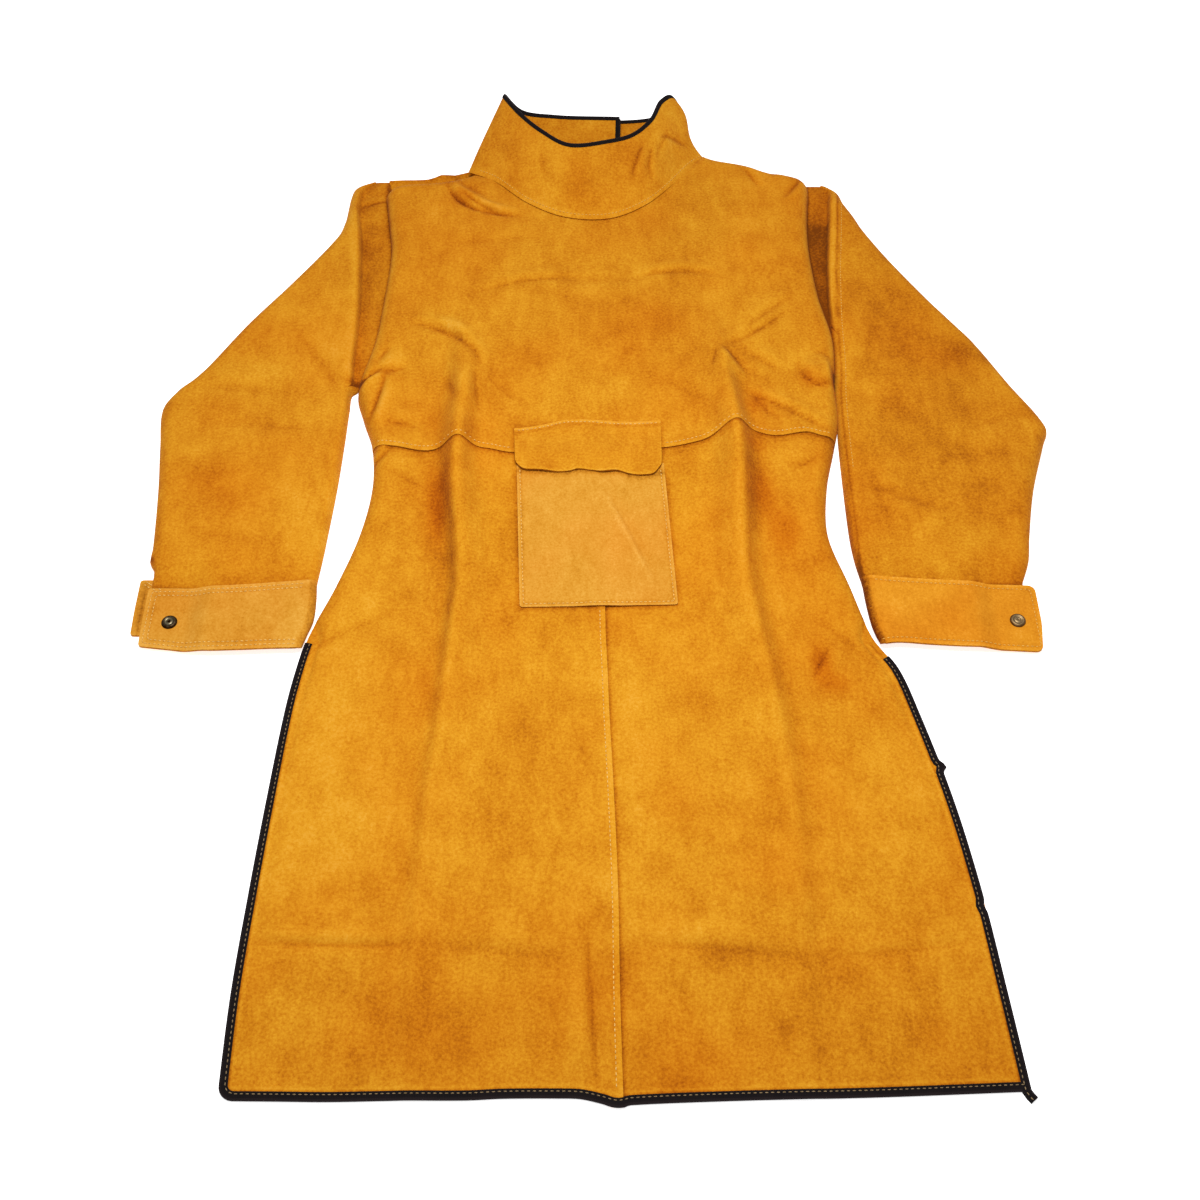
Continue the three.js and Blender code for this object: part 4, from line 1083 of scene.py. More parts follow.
def flap_surface(u, v):
    """Flap sewn down along its top edge, its wavy lower edge standing off the pouch."""
    left, right = (mix(FLAP_SIDES["low"][i], FLAP_SIDES["top"][i], v) for i in (0, 1))
    width = right - left
    flat = mix(left, right, u)
    start, stop = at(FLAP_LOW, "y", flat, "x"), at(FLAP_TOP, "y", flat, "x")
    inset, raised = round_corner(np.minimum(u, 1 - u) * width, v * (stop - start), FLAP_SIDES["corner"])
    x = np.where(u < 0.5, left + inset, right - inset)
    y = start + raised
    below = stop - y
    off = mix(FLAP_FORM["free"], FLAP_FORM["sewn"], smooth(y, *FLAP_FORM["to"]))
    wavy = 1.0 + 0.8 * np.sin(x / 11 + 0.6) + 0.5 * np.sin(x / 5.3)
    lip = wavy * (1 - smooth(raised, *FLAP_FORM["lip"]))
    z = front_height(x, y) + off + lip + pocket_slack(x, y) * smooth(below, *FLAP_FORM["slack_to"])
    # Paler along the lower edge and the top, painted shade along a line under the top
    painted_light_and_wear = FLAP_NAP["rim"] * (1 - smooth(raised, *FLAP_NAP["rim_in"]))
    painted_light_and_wear = painted_light_and_wear + FLAP_NAP["top"] * (1 - smooth(below, *FLAP_NAP["top_in"]))
    painted_light_and_wear = painted_light_and_wear - FLAP_LINE["dark"] * bell(below - FLAP_LINE["below"], FLAP_LINE["width"])
    return np.stack((x, y, z), 1), {"painted_light_and_wear": painted_light_and_wear}


def linked(name, data):
    """New object of a mesh, lamp or camera, in the scene."""
    thing = bpy.data.objects.new(name, data)
    bpy.context.scene.collection.objects.link(thing)
    return thing


def finished(name, mesh_data, materials):
    """Object of a finished bmesh, with its materials."""
    mesh = bpy.data.meshes.new(name)
    mesh_data.to_mesh(mesh)
    mesh_data.free()
    for material in materials:
        mesh.materials.append(material)
    return linked(name, mesh)


def grid_piece(name, patches, materials, thickness):
    """One mesh of grids, each moved onto its surface, given thickness and a rim of the last material."""
    mesh_data = bmesh.new()
    layers = {layer: mesh_data.verts.layers.float.new(layer) for layer in ("painted_light_and_wear", "shade_warmth_and_dye")}
    layers["lay"] = mesh_data.verts.layers.float_vector.new("lay")
    for columns, rows, surface in patches:
        made = bmesh.ops.create_grid(mesh_data, x_segments=columns, y_segments=rows, size=0.5)
        share = np.array([vert.co[:2] for vert in made["verts"]]) + 0.5
        points, values = surface(share[:, 0], share[:, 1])
        for vert, place in zip(made["verts"], placed(points)):
            vert.co = place
        for layer, column in values.items():
            for vert, value in zip(made["verts"], column):
                vert[layers[layer]] = value
    for edge in mesh_data.edges:
        edge.smooth = not edge.is_boundary
    for face in mesh_data.faces:
        face.smooth = True
    piece = finished(name, mesh_data, materials)
    wall = piece.modifiers.new("Wall", "SOLIDIFY")
    wall.thickness = thickness
    wall.offset = 0
    wall.material_offset_rim = len(materials) - 1
    return piece


def dress(piece, slot, *nodes):
    """Ties a finished piece to the garment and hides the solids that it stands for; its finish is not used.
    """
    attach(piece, "root")
    if nodes:
        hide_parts(*nodes)
    return piece


def run_along(points):
    """Length along a line of points, at each of them."""
    return np.concatenate(([0], np.cumsum(np.linalg.norm(np.diff(points, axis=0), axis=1))))


def resampled(points, step):
    """Points at even steps along a line of points."""
    points = np.asarray(points, float)
    run = run_along(points)
    count = max(int(round(run[-1] / step)), 1)
    stops = np.linspace(0, run[-1], count + 1)
    return np.stack([np.interp(stops, run, column) for column in points.T], 1)


def level_frame(points):
    """Ways inward from a level edge with the leather on its left, mitred, and the way up."""
    along = unit(np.diff(points[:, :2], axis=0))
    left = np.stack((-along[:, 1], along[:, 0]), 1)
    before, after = np.vstack((left[:1], left)), np.vstack((left, left[-1:]))
    inward = (before + after) / (1 + np.sum(before * after, 1))[:, None]
    zeros = np.zeros(len(points))
    return np.column_stack((inward, zeros)), np.column_stack((zeros, zeros, zeros + 1))


def tape_section(width, leather, thickness):
    """Reach into the leather and height of a folded tape's middle, from its upper inner edge to the lower."""
    half = leather / 2 + TAPE_GAP + thickness / 2
    upper = [(share * width, half + proud) for share, proud in zip(*TAPE_CROWN.values())]
    upper.append((TAPE_TURN["shoulder"], TAPE_TURN["shoulder_height"] * half))
    lower = [(reach, -height) for reach, height in reversed(upper)]
    return np.array([*upper, (TAPE_TURN["out"], 0), *lower])


def tape_patch(points, inward, normal, section):
    """Grid patch of a folded tape along an edge, and its columns and rows."""
    steps, sides = len(points) - 1, len(section) - 1
    run, girth = run_along(points), run_along(section)

    def surface(u, v):
        i, j = np.rint(v * steps).astype(int), np.rint(u * sides).astype(int)
        reach, height = section[j].T
        spots = points[i] + inward[i] * reach[:, None] + normal[i] * height[:, None]
        worn = TAPE_WORN["grey"] * bell(reach - TAPE_WORN["out"], TAPE_WORN["width"])
        return spots, {"painted_light_and_wear": worn, "lay": np.column_stack((girth[j], run[i], 0 * reach)) * MM}

    return sides, steps, surface


def add(tree, kind, inputs=(), stops=(), **settings):
    """Adds one node with its own settings, its sockets' values or links, and a ramp's stops."""
    node = tree.nodes.new(kind)
    for name, value in settings.items():
        setattr(node, name, value)
    for socket, value in dict(inputs).items():
        if isinstance(value, bpy.types.NodeSocket):
            tree.links.new(value, node.inputs[socket])
        else:
            node.inputs[socket].default_value = value
    for i, (position, colour) in enumerate(stops):
        stop = node.color_ramp.elements[i] if i < 2 else node.color_ramp.elements.new(position)
        stop.position = position
        stop.color = (*colour, 1)
    return node


def new_material(name):
    """Empty material and its node tree."""
    material = bpy.data.materials.new(name)
    material.use_nodes = True
    material.node_tree.nodes.clear()
    return material, material.node_tree


def shaded(material, tree, inputs):
    """Gives a material its shader and output."""
    shader = add(tree, "ShaderNodeBsdfPrincipled", inputs)
    add(tree, "ShaderNodeOutputMaterial", {"Surface": shader.outputs["BSDF"]})
    return material


def split_cowhide(name, colours, warm, blotch, patch, nap):
    """Split cowhide sanded to a short nap on its flesh side: matt, clouded by how the nap lies.

    It is darkened by painted shade and paled by painted highlights and by rubbed nap, and tinted warmer in
    warm painted shade and where the dyeing drifts. The nap's fibres are about 0.2 mm; they are drawn as
    coarse as the nap size given, so that they show.
    """
    material, tree = new_material(name)
    place = add(tree, "ShaderNodeTexCoord").outputs["Object"]
    painted_light_and_wear, shade_warmth_and_dye = (
        add(tree, "ShaderNodeAttribute", attribute_name=layer).outputs["Fac"] for layer in ("painted_light_and_wear", "shade_warmth_and_dye")
    )
    turned = add(
        tree, "ShaderNodeMapping", {"Vector": place, "Rotation": (0, 0, 0.5), "Scale": (1, 0.35, 1)}
    ).outputs["Vector"]
    tone, noises = 0.5, []
    for vector, size, detail, rough, weight in (
        (place, blotch, 2, 0.5, 0.32),
        (place, patch, 3, 0.55, 0.26),
        (turned, patch / 3, 3, 0.6, 0.3),
        (place, nap, 2, 0.75, 0.66),
    ):
        noise = add(
            tree, "ShaderNodeTexNoise",
            {"Vector": vector, "Scale": 1 / size, "Detail": detail, "Roughness": rough},
        ).outputs[0]
        centred = add(tree, "ShaderNodeMath", {0: noise, 1: 0.5}, operation="SUBTRACT").outputs[0]
        tone = add(
            tree, "ShaderNodeMath", {0: centred, 1: weight, 2: tone}, operation="MULTIPLY_ADD"
        ).outputs[0]
        noises.append(noise)
    # The vertex attribute darkens the tone with painted shade and pales it with painted highlights and rubbed
    # nap
    tone = add(tree, "ShaderNodeMath", {0: painted_light_and_wear, 1: 0.3, 2: tone}, operation="MULTIPLY_ADD").outputs[0]
    ramp = add(
        tree, "ShaderNodeValToRGB", {"Fac": tone},
        stops=tuple(zip((0.0, 1.0, 0.2, 0.4, 0.62), (colours[i] for i in (0, 4, 1, 2, 3)))),
    )
    # Warmer tint where the dyeing drifts, and where the second vertex attribute warms painted shade
    drift = add(tree, "ShaderNodeTexNoise", {"Vector": place, "Scale": 0.8 / blotch, "Detail": 2}).outputs[0]
    warmth = add(
        tree, "ShaderNodeMapRange", {"Value": drift, "From Min": 0.4, "From Max": 0.68, "To Max": 0.6}
    ).outputs["Result"]
    warmth = add(tree, "ShaderNodeMath", {0: warmth, 1: shade_warmth_and_dye}, operation="ADD", use_clamp=True).outputs[0]
    tinted = add(
        tree, "ShaderNodeMixRGB", {"Fac": warmth, "Color1": ramp.outputs["Color"], "Color2": (*warm, 1)},
        blend_type="MULTIPLY",
    ).outputs[0]
    *_, streaks, fibres = noises
    grain = add(tree, "ShaderNodeMath", {0: fibres, 1: 0.7, 2: streaks}, operation="MULTIPLY_ADD").outputs[0]
    bump = add(tree, "ShaderNodeBump", {"Height": grain, "Strength": 0.4, "Distance": 0.6 * MM})
    return shaded(material, tree, {
        "Base Color": tinted, "Roughness": 0.95, "Normal": bump.outputs["Normal"],
        "IOR": 1.45, "Specular IOR Level": 0.08, "Sheen Weight": 0.04, "Sheen Roughness": 0.5,
        "Sheen Tint": (1.0, 0.75, 0.4, 1),
    })


def cut_leather(name, colour, dark):
    """Knife-cut edge of split cowhide: paler loose fibre, uneven in clumps of about 3 mm."""
    material, tree = new_material(name)
    place = add(tree, "ShaderNodeTexCoord").outputs["Object"]
    fibres = add(
        tree, "ShaderNodeTexNoise", {"Vector": place, "Scale": 1 / (3 * MM), "Detail": 3}
    ).outputs["Fac"]
    ramp = add(tree, "ShaderNodeValToRGB", {"Fac": fibres}, stops=((0.3, dark), (0.7, colour)))
    bump = add(tree, "ShaderNodeBump", {"Height": fibres, "Strength": 0.4, "Distance": 0.5 * MM})
    return shaded(material, tree, {
        "Base Color": ramp.outputs["Color"], "Roughness": 0.95, "Normal": bump.outputs["Normal"],
        "Specular IOR Level": 0.08,
    })


def woven_tape(name, colour, worn):
    """Plain-woven polyester binding tape: matt black ribs, greyer along the fold and where dust lies.

    Its threads lie about 0.4 mm apart; the ribs are drawn 1.3 mm apart so that they show. A wave texture of
    scale s repeats every 2 pi / (20 s).
    """
    material, tree = new_material(name)
    lay = add(tree, "ShaderNodeAttribute", attribute_name="lay").outputs["Vector"]
    painted_light_and_wear = add(tree, "ShaderNodeAttribute", attribute_name="painted_light_and_wear").outputs["Fac"]
    ribs = 1.3 * MM
    waves = [
        add(
            tree, "ShaderNodeTexWave",
            {"Vector": lay, "Scale": 2 * math.pi / (20 * ribs), "Distortion": 0.6, "Detail": 1},
            bands_direction=direction,
        ).outputs["Fac"]
        for direction in "XY"
    ]
    weave = add(tree, "ShaderNodeMath", {0: waves[0], 1: waves[1]}, operation="MULTIPLY").outputs[0]
    dust = add(
        tree, "ShaderNodeTexNoise", {"Vector": lay, "Scale": 1 / (12 * MM), "Detail": 4}
    ).outputs["Fac"]
    grey = add(tree, "ShaderNodeMath", {0: dust, 1: 0.3, 2: painted_light_and_wear}, operation="MULTIPLY_ADD").outputs[0]
    grey = add(tree, "ShaderNodeMath", {0: weave, 1: 0.3, 2: grey}, operation="MULTIPLY_ADD").outputs[0]
    ramp = add(tree, "ShaderNodeValToRGB", {"Fac": grey}, stops=((0.1, colour), (1.0, worn)))
    bump = add(tree, "ShaderNodeBump", {"Height": weave, "Strength": 0.5, "Distance": 0.3 * MM})
    return shaded(material, tree, {
        "Base Color": ramp.outputs["Color"], "Roughness": 0.85, "Normal": bump.outputs["Normal"],
        "Specular IOR Level": 0.12,
    })


def spun_thread(name, colour, dark):
    """Twisted polyester sewing thread: pale, softly shining, with painted shade between the twists.

    The twist is about 0.4 mm; it is drawn 0.9 mm long so that it shows.
    """
    material, tree = new_material(name)
    place = add(tree, "ShaderNodeTexCoord").outputs["Object"]
    twist = add(tree, "ShaderNodeTexNoise", {"Vector": place, "Scale": 1 / (0.9 * MM), "Detail": 1})
    ramp = add(tree, "ShaderNodeValToRGB", {"Fac": twist.outputs["Fac"]}, stops=((0.3, dark), (0.6, colour)))
    return shaded(material, tree, {
        "Base Color": ramp.outputs["Color"], "Roughness": 0.7, "Specular IOR Level": 0.15,
    })


def aged_metal(name, dark, bright, roughness):
    """Pressed brass, chemically darkened: brown-black in the hollows, stained, brassy where it was rubbed."""
    material, tree = new_material(name)
    place = add(tree, "ShaderNodeTexCoord").outputs["Object"]
    stain = add(
        tree, "ShaderNodeTexNoise", {"Vector": place, "Scale": 1 / (4 * MM), "Detail": 5, "Roughness": 0.65}
    ).outputs["Fac"]
    painted_light_and_wear = add(tree, "ShaderNodeAttribute", attribute_name="painted_light_and_wear").outputs["Fac"]
    wear = add(tree, "ShaderNodeMath", {0: stain, 1: 0.6, 2: painted_light_and_wear}, operation="MULTIPLY_ADD").outputs[0]
    ramp = add(tree, "ShaderNodeValToRGB", {"Fac": wear}, stops=((0.3, dark), (0.95, bright)))
    dull = add(tree, "ShaderNodeMapRange", {"Value": wear, "To Min": roughness + 0.2, "To Max": roughness})
    bump = add(tree, "ShaderNodeBump", {"Height": stain, "Strength": 0.15, "Distance": 0.3 * MM})
    return shaded(material, tree, {
        "Base Color": ramp.outputs["Color"], "Metallic": 1.0, "Roughness": dull.outputs["Result"],
        "Normal": bump.outputs["Normal"],
    })


def lit_acrylic(name, colour, glow):
    """Matt white acrylic of a light table: even white, shadows almost lit away from below."""
    material, tree = new_material(name)
    return shaded(material, tree, {
        "Base Color": (*colour, 1), "Roughness": 0.9, "Specular IOR Level": 0.1,
        "Emission Color": (1, 1, 1, 1), "Emission Strength": glow,
    })


class ApronSizes(bpy.types.PropertyGroup):
    """Sizes of the leather, tape and thread."""

    leather: FloatProperty(
        name="Leather", description="Thickness of the split cowhide", default=0.0018,
        unit="LENGTH", precision=4,
    )
    tape_width: FloatProperty(
        name="Tape Width", description="Width of the folded tape on each face", default=0.0062,
        unit="LENGTH", precision=4,
    )
    rim_width: FloatProperty(
        name="Rim Width", description="Width of the collar's tape on each face", default=0.0048,
        unit="LENGTH", precision=4,
    )
    tape: FloatProperty(
        name="Tape", description="Thickness of the tape", default=0.0006, unit="LENGTH", precision=4
    )
    stitch: FloatProperty(
        name="Stitch", description="Length of one stitch", default=0.0030, unit="LENGTH", precision=4
    )
    spacing: FloatProperty(
        name="Spacing", description="Distance from one stitch to the next", default=0.0044,
        unit="LENGTH", precision=4,
    )
    thread: FloatProperty(
        name="Thread", description="Thickness of the sewing thread", default=0.0012,
        unit="LENGTH", precision=4,
    )


class ApronFinish(bpy.types.PropertyGroup):
    """Colours of the garment's materials."""

    # Ramp of the golden hide, darkest first: the two darkest colour painted shade, golden is the usual nap,
    # bright and rubbed colour raised and rubbed nap and also painted highlights
    deepest_shade: FloatVectorProperty(
        name="Deep", description="Darkest lying nap", subtype="COLOR", default=linear("#733a06")
    )
    shade: FloatVectorProperty(
        name="Shade", description="Shaded nap", subtype="COLOR", default=linear("#a05808")
    )
    golden: FloatVectorProperty(
        name="Golden", description="Usual nap", subtype="COLOR", default=linear("#be7510")
    )
    bright: FloatVectorProperty(
        name="Bright", description="Raised nap", subtype="COLOR", default=linear("#d1901e")
    )
    rubbed: FloatVectorProperty(
        name="Rubbed", description="Rubbed nap", subtype="COLOR", default=linear("#e3ab45")
    )
    # Warm tint, multiplied in where painted shade is warm in folds and hollows and where the dyeing drifts
    # warmer
    warm: FloatVectorProperty(
        name="Warm", description="Tint of warmer dye", subtype="COLOR", default=linear("#f8dcb0")
    )
    pale: FloatVectorProperty(
        name="Pale", description="Paler hide's nap", subtype="COLOR", default=linear("#c48424")
    )
    tape: FloatVectorProperty(
        name="Tape", description="Binding tape", subtype="COLOR", default=linear("#0a0607")
    )
    thread: FloatVectorProperty(
        name="Thread", description="Pale thread", subtype="COLOR", default=linear("#eec06a")
    )
    seam_thread: FloatVectorProperty(
        name="Seam Thread", description="Golden thread of the seams", subtype="COLOR",
        default=linear("#e6b152"),
    )
    tape_thread: FloatVectorProperty(
        name="Tape Thread", description="Thread on the tape", subtype="COLOR", default=linear("#8f7a5a")
    )
    brass: FloatVectorProperty(
        name="Brass", description="Rubbed snap", subtype="COLOR", default=linear("#a8916b")
    )
    blackened: FloatVectorProperty(
        name="Blackened", description="Rubbed ring of the darkened snap", subtype="COLOR",
        default=linear("#7f755b"),
    )


class ApronStage(bpy.types.PropertyGroup):
    """Floor, light and camera."""

    floor: FloatVectorProperty(
        name="Floor", description="Floor colour", subtype="COLOR", default=linear("#f8f8f8")
    )
    glow: FloatProperty(
        name="Glow", description="Strength of the light from under the floor", default=0.7, min=0
    )
    sky: FloatProperty(name="Sky", description="Strength of the light from all round", default=0.42, min=0)
    lamp: FloatProperty(
        name="Lamp", description="Power of the overhead light", default=21.0, min=0, unit="POWER"
    )
    lens: FloatProperty(name="Lens", description="Focal length in millimetres", default=45.0, min=10)


def sized(context):
    """Sizes that the operators work from."""
    return context.scene.apron_sizes


def hides(context):
    """Finishes of the golden, the paler and the orange hide and their cut edges, made once."""
    names = [f"{hide}_split_cowhide_sanded" for hide in ("golden", "pale", "orange")]
    cut = "cut_edge_of_split_cowhide"
    if cut not in bpy.data.materials:
        finish = context.scene.apron_finish
        # Each hide's ramp, darkest first: painted deepest shade, painted shade, usual nap, raised nap, and a
        # palest colour for painted highlights and rubbed nap
        golden = [tuple(c) for c in (finish.deepest_shade, finish.shade, finish.golden, finish.bright, finish.rubbed)]
        pale = [linear(c) for c in ("#6e3a08", "#a66a18", "#d19637", "#e8b65e")]
        pale.insert(2, tuple(finish.pale))
        orange = [linear(c) for c in ("#6e3406", "#aa660f", "#c47b16", "#d58d20", "#ecb350")]
        warm = tuple(finish.warm)
        split_cowhide(names[0], golden, warm, blotch=120 * MM, patch=30 * MM, nap=2.6 * MM)
        split_cowhide(names[1], pale, warm, blotch=70 * MM, patch=20 * MM, nap=2.4 * MM)
        split_cowhide(names[2], orange, warm, blotch=70 * MM, patch=20 * MM, nap=2.4 * MM)
        cut_leather(cut, linear("#bb7618"), linear("#8a4e0a"))
    return [bpy.data.materials[name] for name in (*names, cut)]


def black_tape(context):
    """Finish of the binding tape, made once."""
    finish = context.scene.apron_finish
    return bpy.data.materials.get("woven_polyester_tape") or woven_tape(
        "woven_polyester_tape", tuple(finish.tape), linear("#2a2021")
    )


class ApronOperator:
    """What the garment's operators share."""

    bl_options = {"REGISTER", "UNDO"}


class APRON_OT_stage(ApronOperator, bpy.types.Operator):
    """Lays the pale floor, hangs the soft lights and sets up the camera"""

    bl_idname = "apron.stage"
    bl_label = "Stage"

    def execute(self, context):
        scene = context.scene
        stage = scene.apron_stage
        mesh_data = bmesh.new()
        bmesh.ops.create_grid(mesh_data, x_segments=2, y_segments=2, size=FLOOR_HALF)
        acrylic = lit_acrylic("matt_white_acrylic", tuple(stage.floor), stage.glow)
        floor = finished("studio_floor", mesh_data, [acrylic])

        world = bpy.data.worlds.new("studio")
        world.use_nodes = True
        world.node_tree.nodes["Background"].inputs["Color"].default_value = (1, 1, 1, 1)
        world.node_tree.nodes["Background"].inputs["Strength"].default_value = stage.sky
        scene.world = world
        scene.view_settings.view_transform = "Standard"

        light = bpy.data.lights.new("overhead", "AREA")
        light.energy = stage.lamp
        light.size = LAMP_SIZE
        linked("overhead", light).location = placed(LAMP_PLACE)

        lens = bpy.data.cameras.new("photo_camera")
        lens.lens = stage.lens
        lens.sensor_width = CAMERA["sensor"]
        elevation, height = math.radians(CAMERA["elevation"]), CAMERA["height"]
        camera = linked("photo_camera", lens)
        camera.location = placed((0, CAMERA["aim"] - height / math.tan(elevation), height))
        camera.rotation_euler = (math.pi / 2 - elevation, 0, 0)
        scene.camera = camera
        return {"FINISHED"}


class APRON_OT_front(ApronOperator, bpy.types.Operator):
    """Cuts the bodice and the two halves of the skirt"""

    bl_idname = "apron.front"
    bl_label = "Front"

    def execute(self, context):
        golden, _, _, edge = hides(context)
        wall = sized(context).leather
        patch = (*GRIDS["bodice"], bodice_surface)
        bodice = grid_piece("bodice_hide", [patch], (golden, edge), wall)
        dress(bodice, "suede", "bodice_front")
        for side in ("left", "right"):
            patch = (*GRIDS["skirt"], skirt_surface(side))
            skirt = grid_piece(f"skirt_{side}_hide", [patch], (golden, edge), wall)
            dress(skirt, "suede", f"skirt_{side}")
        return {"FINISHED"}


class APRON_OT_back(ApronOperator, bpy.types.Operator):
    """Cuts the two back panels that lie on the floor"""

    bl_idname = "apron.back"
    bl_label = "Back"

    def execute(self, context):
        golden, _, _, edge = hides(context)
        wall = sized(context).leather
        for side in ("left", "right"):
            patch = (*GRIDS["back"], back_surface(side))
            panel = grid_piece(f"back_{side}_hide", [patch], (golden, edge), wall)
            dress(panel, "suede", f"back_{side}")
        return {"FINISHED"}


class APRON_OT_sleeves(ApronOperator, bpy.types.Operator):
    """Folds the two sleeves flat"""

    bl_idname = "apron.sleeves"
    bl_label = "Sleeves"

    def execute(self, context):
        golden, _, _, edge = hides(context)
        wall = sized(context).leather
        for side in ("left", "right"):
            patch = (*GRIDS["sleeve"], sleeve_surface(side))
            sleeve = grid_piece(f"sleeve_{side}_hide", [patch], (golden, edge), wall)
            dress(sleeve, "suede", f"sleeve_{side}_upper", f"sleeve_{side}_under")
        return {"FINISHED"}


class APRON_OT_cuffs(ApronOperator, bpy.types.Operator):
    """Folds the cuffs and sets their snaps"""

    bl_idname = "apron.cuffs"
    bl_label = "Cuffs and Snaps"

    def execute(self, context):
        _, pale, orange, edge = hides(context)
        hide = {"left": pale, "right": orange}
        finish = context.scene.apron_finish
        metals = {
            "left": aged_metal("blackened_pressed_brass", linear("#2c1807"), tuple(finish.blackened), 0.42),
            "right": aged_metal("antique_pressed_brass", linear("#5c3a14"), tuple(finish.brass), 0.45),
        }
        for side in ("left", "right"):
            patch = (*GRIDS["cuff"], cuff_surface(side))
            cuff = grid_piece(f"cuff_{side}_hide", [patch], (hide[side], edge), CUFF_WALL * MM)
            dress(cuff, "pale_suede", f"cuff_{side}")
            dress(self.snap(side, metals[side]), "aged_brass", f"snap_{side}")
        return {"FINISHED"}

    def snap(self, side, metal):
        """Dished cap turned round the snap's axis, with its post and flange."""
        seat = CUFF_PLIES["pinched_upper"] + CUFF_WALL / 2
        rim, low, top = SNAP_FLANGE.values()
        profile = [(rim, low, 0), (rim, top, 0), (SNAP_POST, top, 0), (SNAP_POST, seat, 0)]
        profile += zip(SNAP_CAP["radius"], seat + SNAP_CAP["height"], SNAP_CAP[side])
        middle = placed((*CUFFS[side]["snap"], 0))
        mesh_data = bmesh.new()
        rubbed = mesh_data.verts.layers.float.new("painted_light_and_wear")
        last = None
        for radius, height, wear in profile:
            vert = mesh_data.verts.new(middle + np.array((radius, 0, height)) * MM)
            vert[rubbed] = wear
            if last:
                mesh_data.edges.new((last, vert))
            last = vert
        bmesh.ops.spin(
            mesh_data, geom=mesh_data.verts[:] + mesh_data.edges[:], cent=middle, axis=(0, 0, 1),
            angle=2 * math.pi, steps=SNAP_SIDES, use_merge=True,
        )
        bmesh.ops.holes_fill(mesh_data, edges=[e for e in mesh_data.edges if e.is_boundary], sides=0)
        bmesh.ops.recalc_face_normals(mesh_data, faces=mesh_data.faces)
        for face in mesh_data.faces:
            face.smooth = True
        for crease in mesh_data.edges:
            crease.smooth = crease.calc_face_angle(0) < SNAP_SHARP
        return finished(f"cuff_{side}_snap", mesh_data, [metal])


class APRON_OT_collar(ApronOperator, bpy.types.Operator):
    """Stands the collar up and binds its rim and the end of its lap"""

    bl_idname = "apron.collar"
    bl_label = "Collar"

    def execute(self, context):
        golden, _, _, edge = hides(context)
        sizes = sized(context)
        patch = (*GRIDS["collar"], collar_surface)
        collar = grid_piece("collar_hide", [patch], (golden, edge), sizes.leather)
        dress(collar, "suede", "collar")
        section = tape_section(sizes.rim_width / MM, sizes.leather / MM, sizes.tape / MM)
        patches = [tape_patch(*rim, section) for rim in collar_edges()]
        tape = grid_piece("collar_tape", patches, (black_tape(context),), sizes.tape)
        dress(tape, "black_tape", "collar_binding")
        return {"FINISHED"}


def collar_edges():
    """Points, ways inward and normals along the collar's rim, and down the end of its lap."""
    u = np.linspace(0, 1, COLLAR_TAPE["rim_points"])
    full, nudge = np.ones_like(u), COLLAR_TAPE["nudge"]
    rim, below = collar_surface(u, full)[0], collar_surface(u, full - COLLAR_TAPE["below"])[0]
    ahead, behind = (collar_surface(np.clip(u + step, 0, 1), full)[0] for step in (nudge, -nudge))
    inward = unit(below - rim)
    normal = unit(np.cross(inward, ahead - behind))
    v = np.linspace(*COLLAR_TAPE["lap"], COLLAR_TAPE["lap_points"])
    first = np.zeros_like(v)
    end, beside = collar_surface(first, v)[0], collar_surface(first + COLLAR_TAPE["beside"], v)[0]
    across = unit(beside - end)
    above = collar_surface(first, v + nudge)[0]
    return (rim, inward, normal), (end, across, unit(np.cross(across, above - end)))


class APRON_OT_pocket(ApronOperator, bpy.types.Operator):
    """Sets the patch pocket and its flap on the skirt"""

    bl_idname = "apron.pocket"
    bl_label = "Pocket"

    def execute(self, context):
        golden, pale, _, edge = hides(context)
        wall = sized(context).leather
        pouch = grid_piece("pouch_hide", [(*GRIDS["pouch"], pouch_surface)], (pale, edge), wall)
        dress(pouch, "pale_suede", "pocket_pouch")
        flap = grid_piece("flap_hide", [(*GRIDS["flap"], flap_surface)], (golden, edge), wall)
        dress(flap, "suede", "pocket_flap")
        return {"FINISHED"}


def side_share(y):
    """Share of a skirt side's height at a distance up from the hem."""
    return (y - HEM["y"][0]) / (WAIST["y"][0] - HEM["y"][0])


def bound_edges():
    """Points along each edge that carries tape, the leather on their left."""
    left, right = skirt_surface("left"), skirt_surface("right")
    down = np.linspace(side_share(TAPE_TOPS["left"]), 0, TAPE_POINTS["side"])
    across = np.linspace(0, 1, TAPE_POINTS["hem"])
    first, second = left(across[1:], 0 * across[1:])[0], right(across, 0 * across)[0]
    second = second[second[:, 0] > first[-1, 0] + TAPE_STEPS["skirt"]]
    hem = np.vstack((left(0 * down, down)[0], first, second))
    hem[:, 2] = np.maximum(hem[:, 2], TAPE_LEAST)
    rows = np.linspace(0, side_share(TAPE_TOPS["right"]), TAPE_POINTS["side"])
    up = resampled(right(np.ones_like(rows), rows)[0], TAPE_STEPS["skirt"])
    for y, out, width in zip(*TAPE_KINKS.values()):
        up[:, 0] += out * bell(up[:, 1] - y, width)
    tail = up[0] + np.array(TAPE_TAIL)
    edges = {"left": resampled(hem, TAPE_STEPS["skirt"])[:-1], "right": np.vstack((tail, up))}
    rows = np.linspace(0, 1, TAPE_POINTS["back"])
    for side in ("left", "right"):
        points = back_surface(side)(np.ones_like(rows), rows)[0]
        held = points[(points[:, 1] > BACK_TAPE["from"]) & (points[:, 1] < BACK_TAPE["to"])]
        edges[f"back_{side}"] = resampled(held if side == "left" else held[::-1], TAPE_STEPS["back"])
    return edges


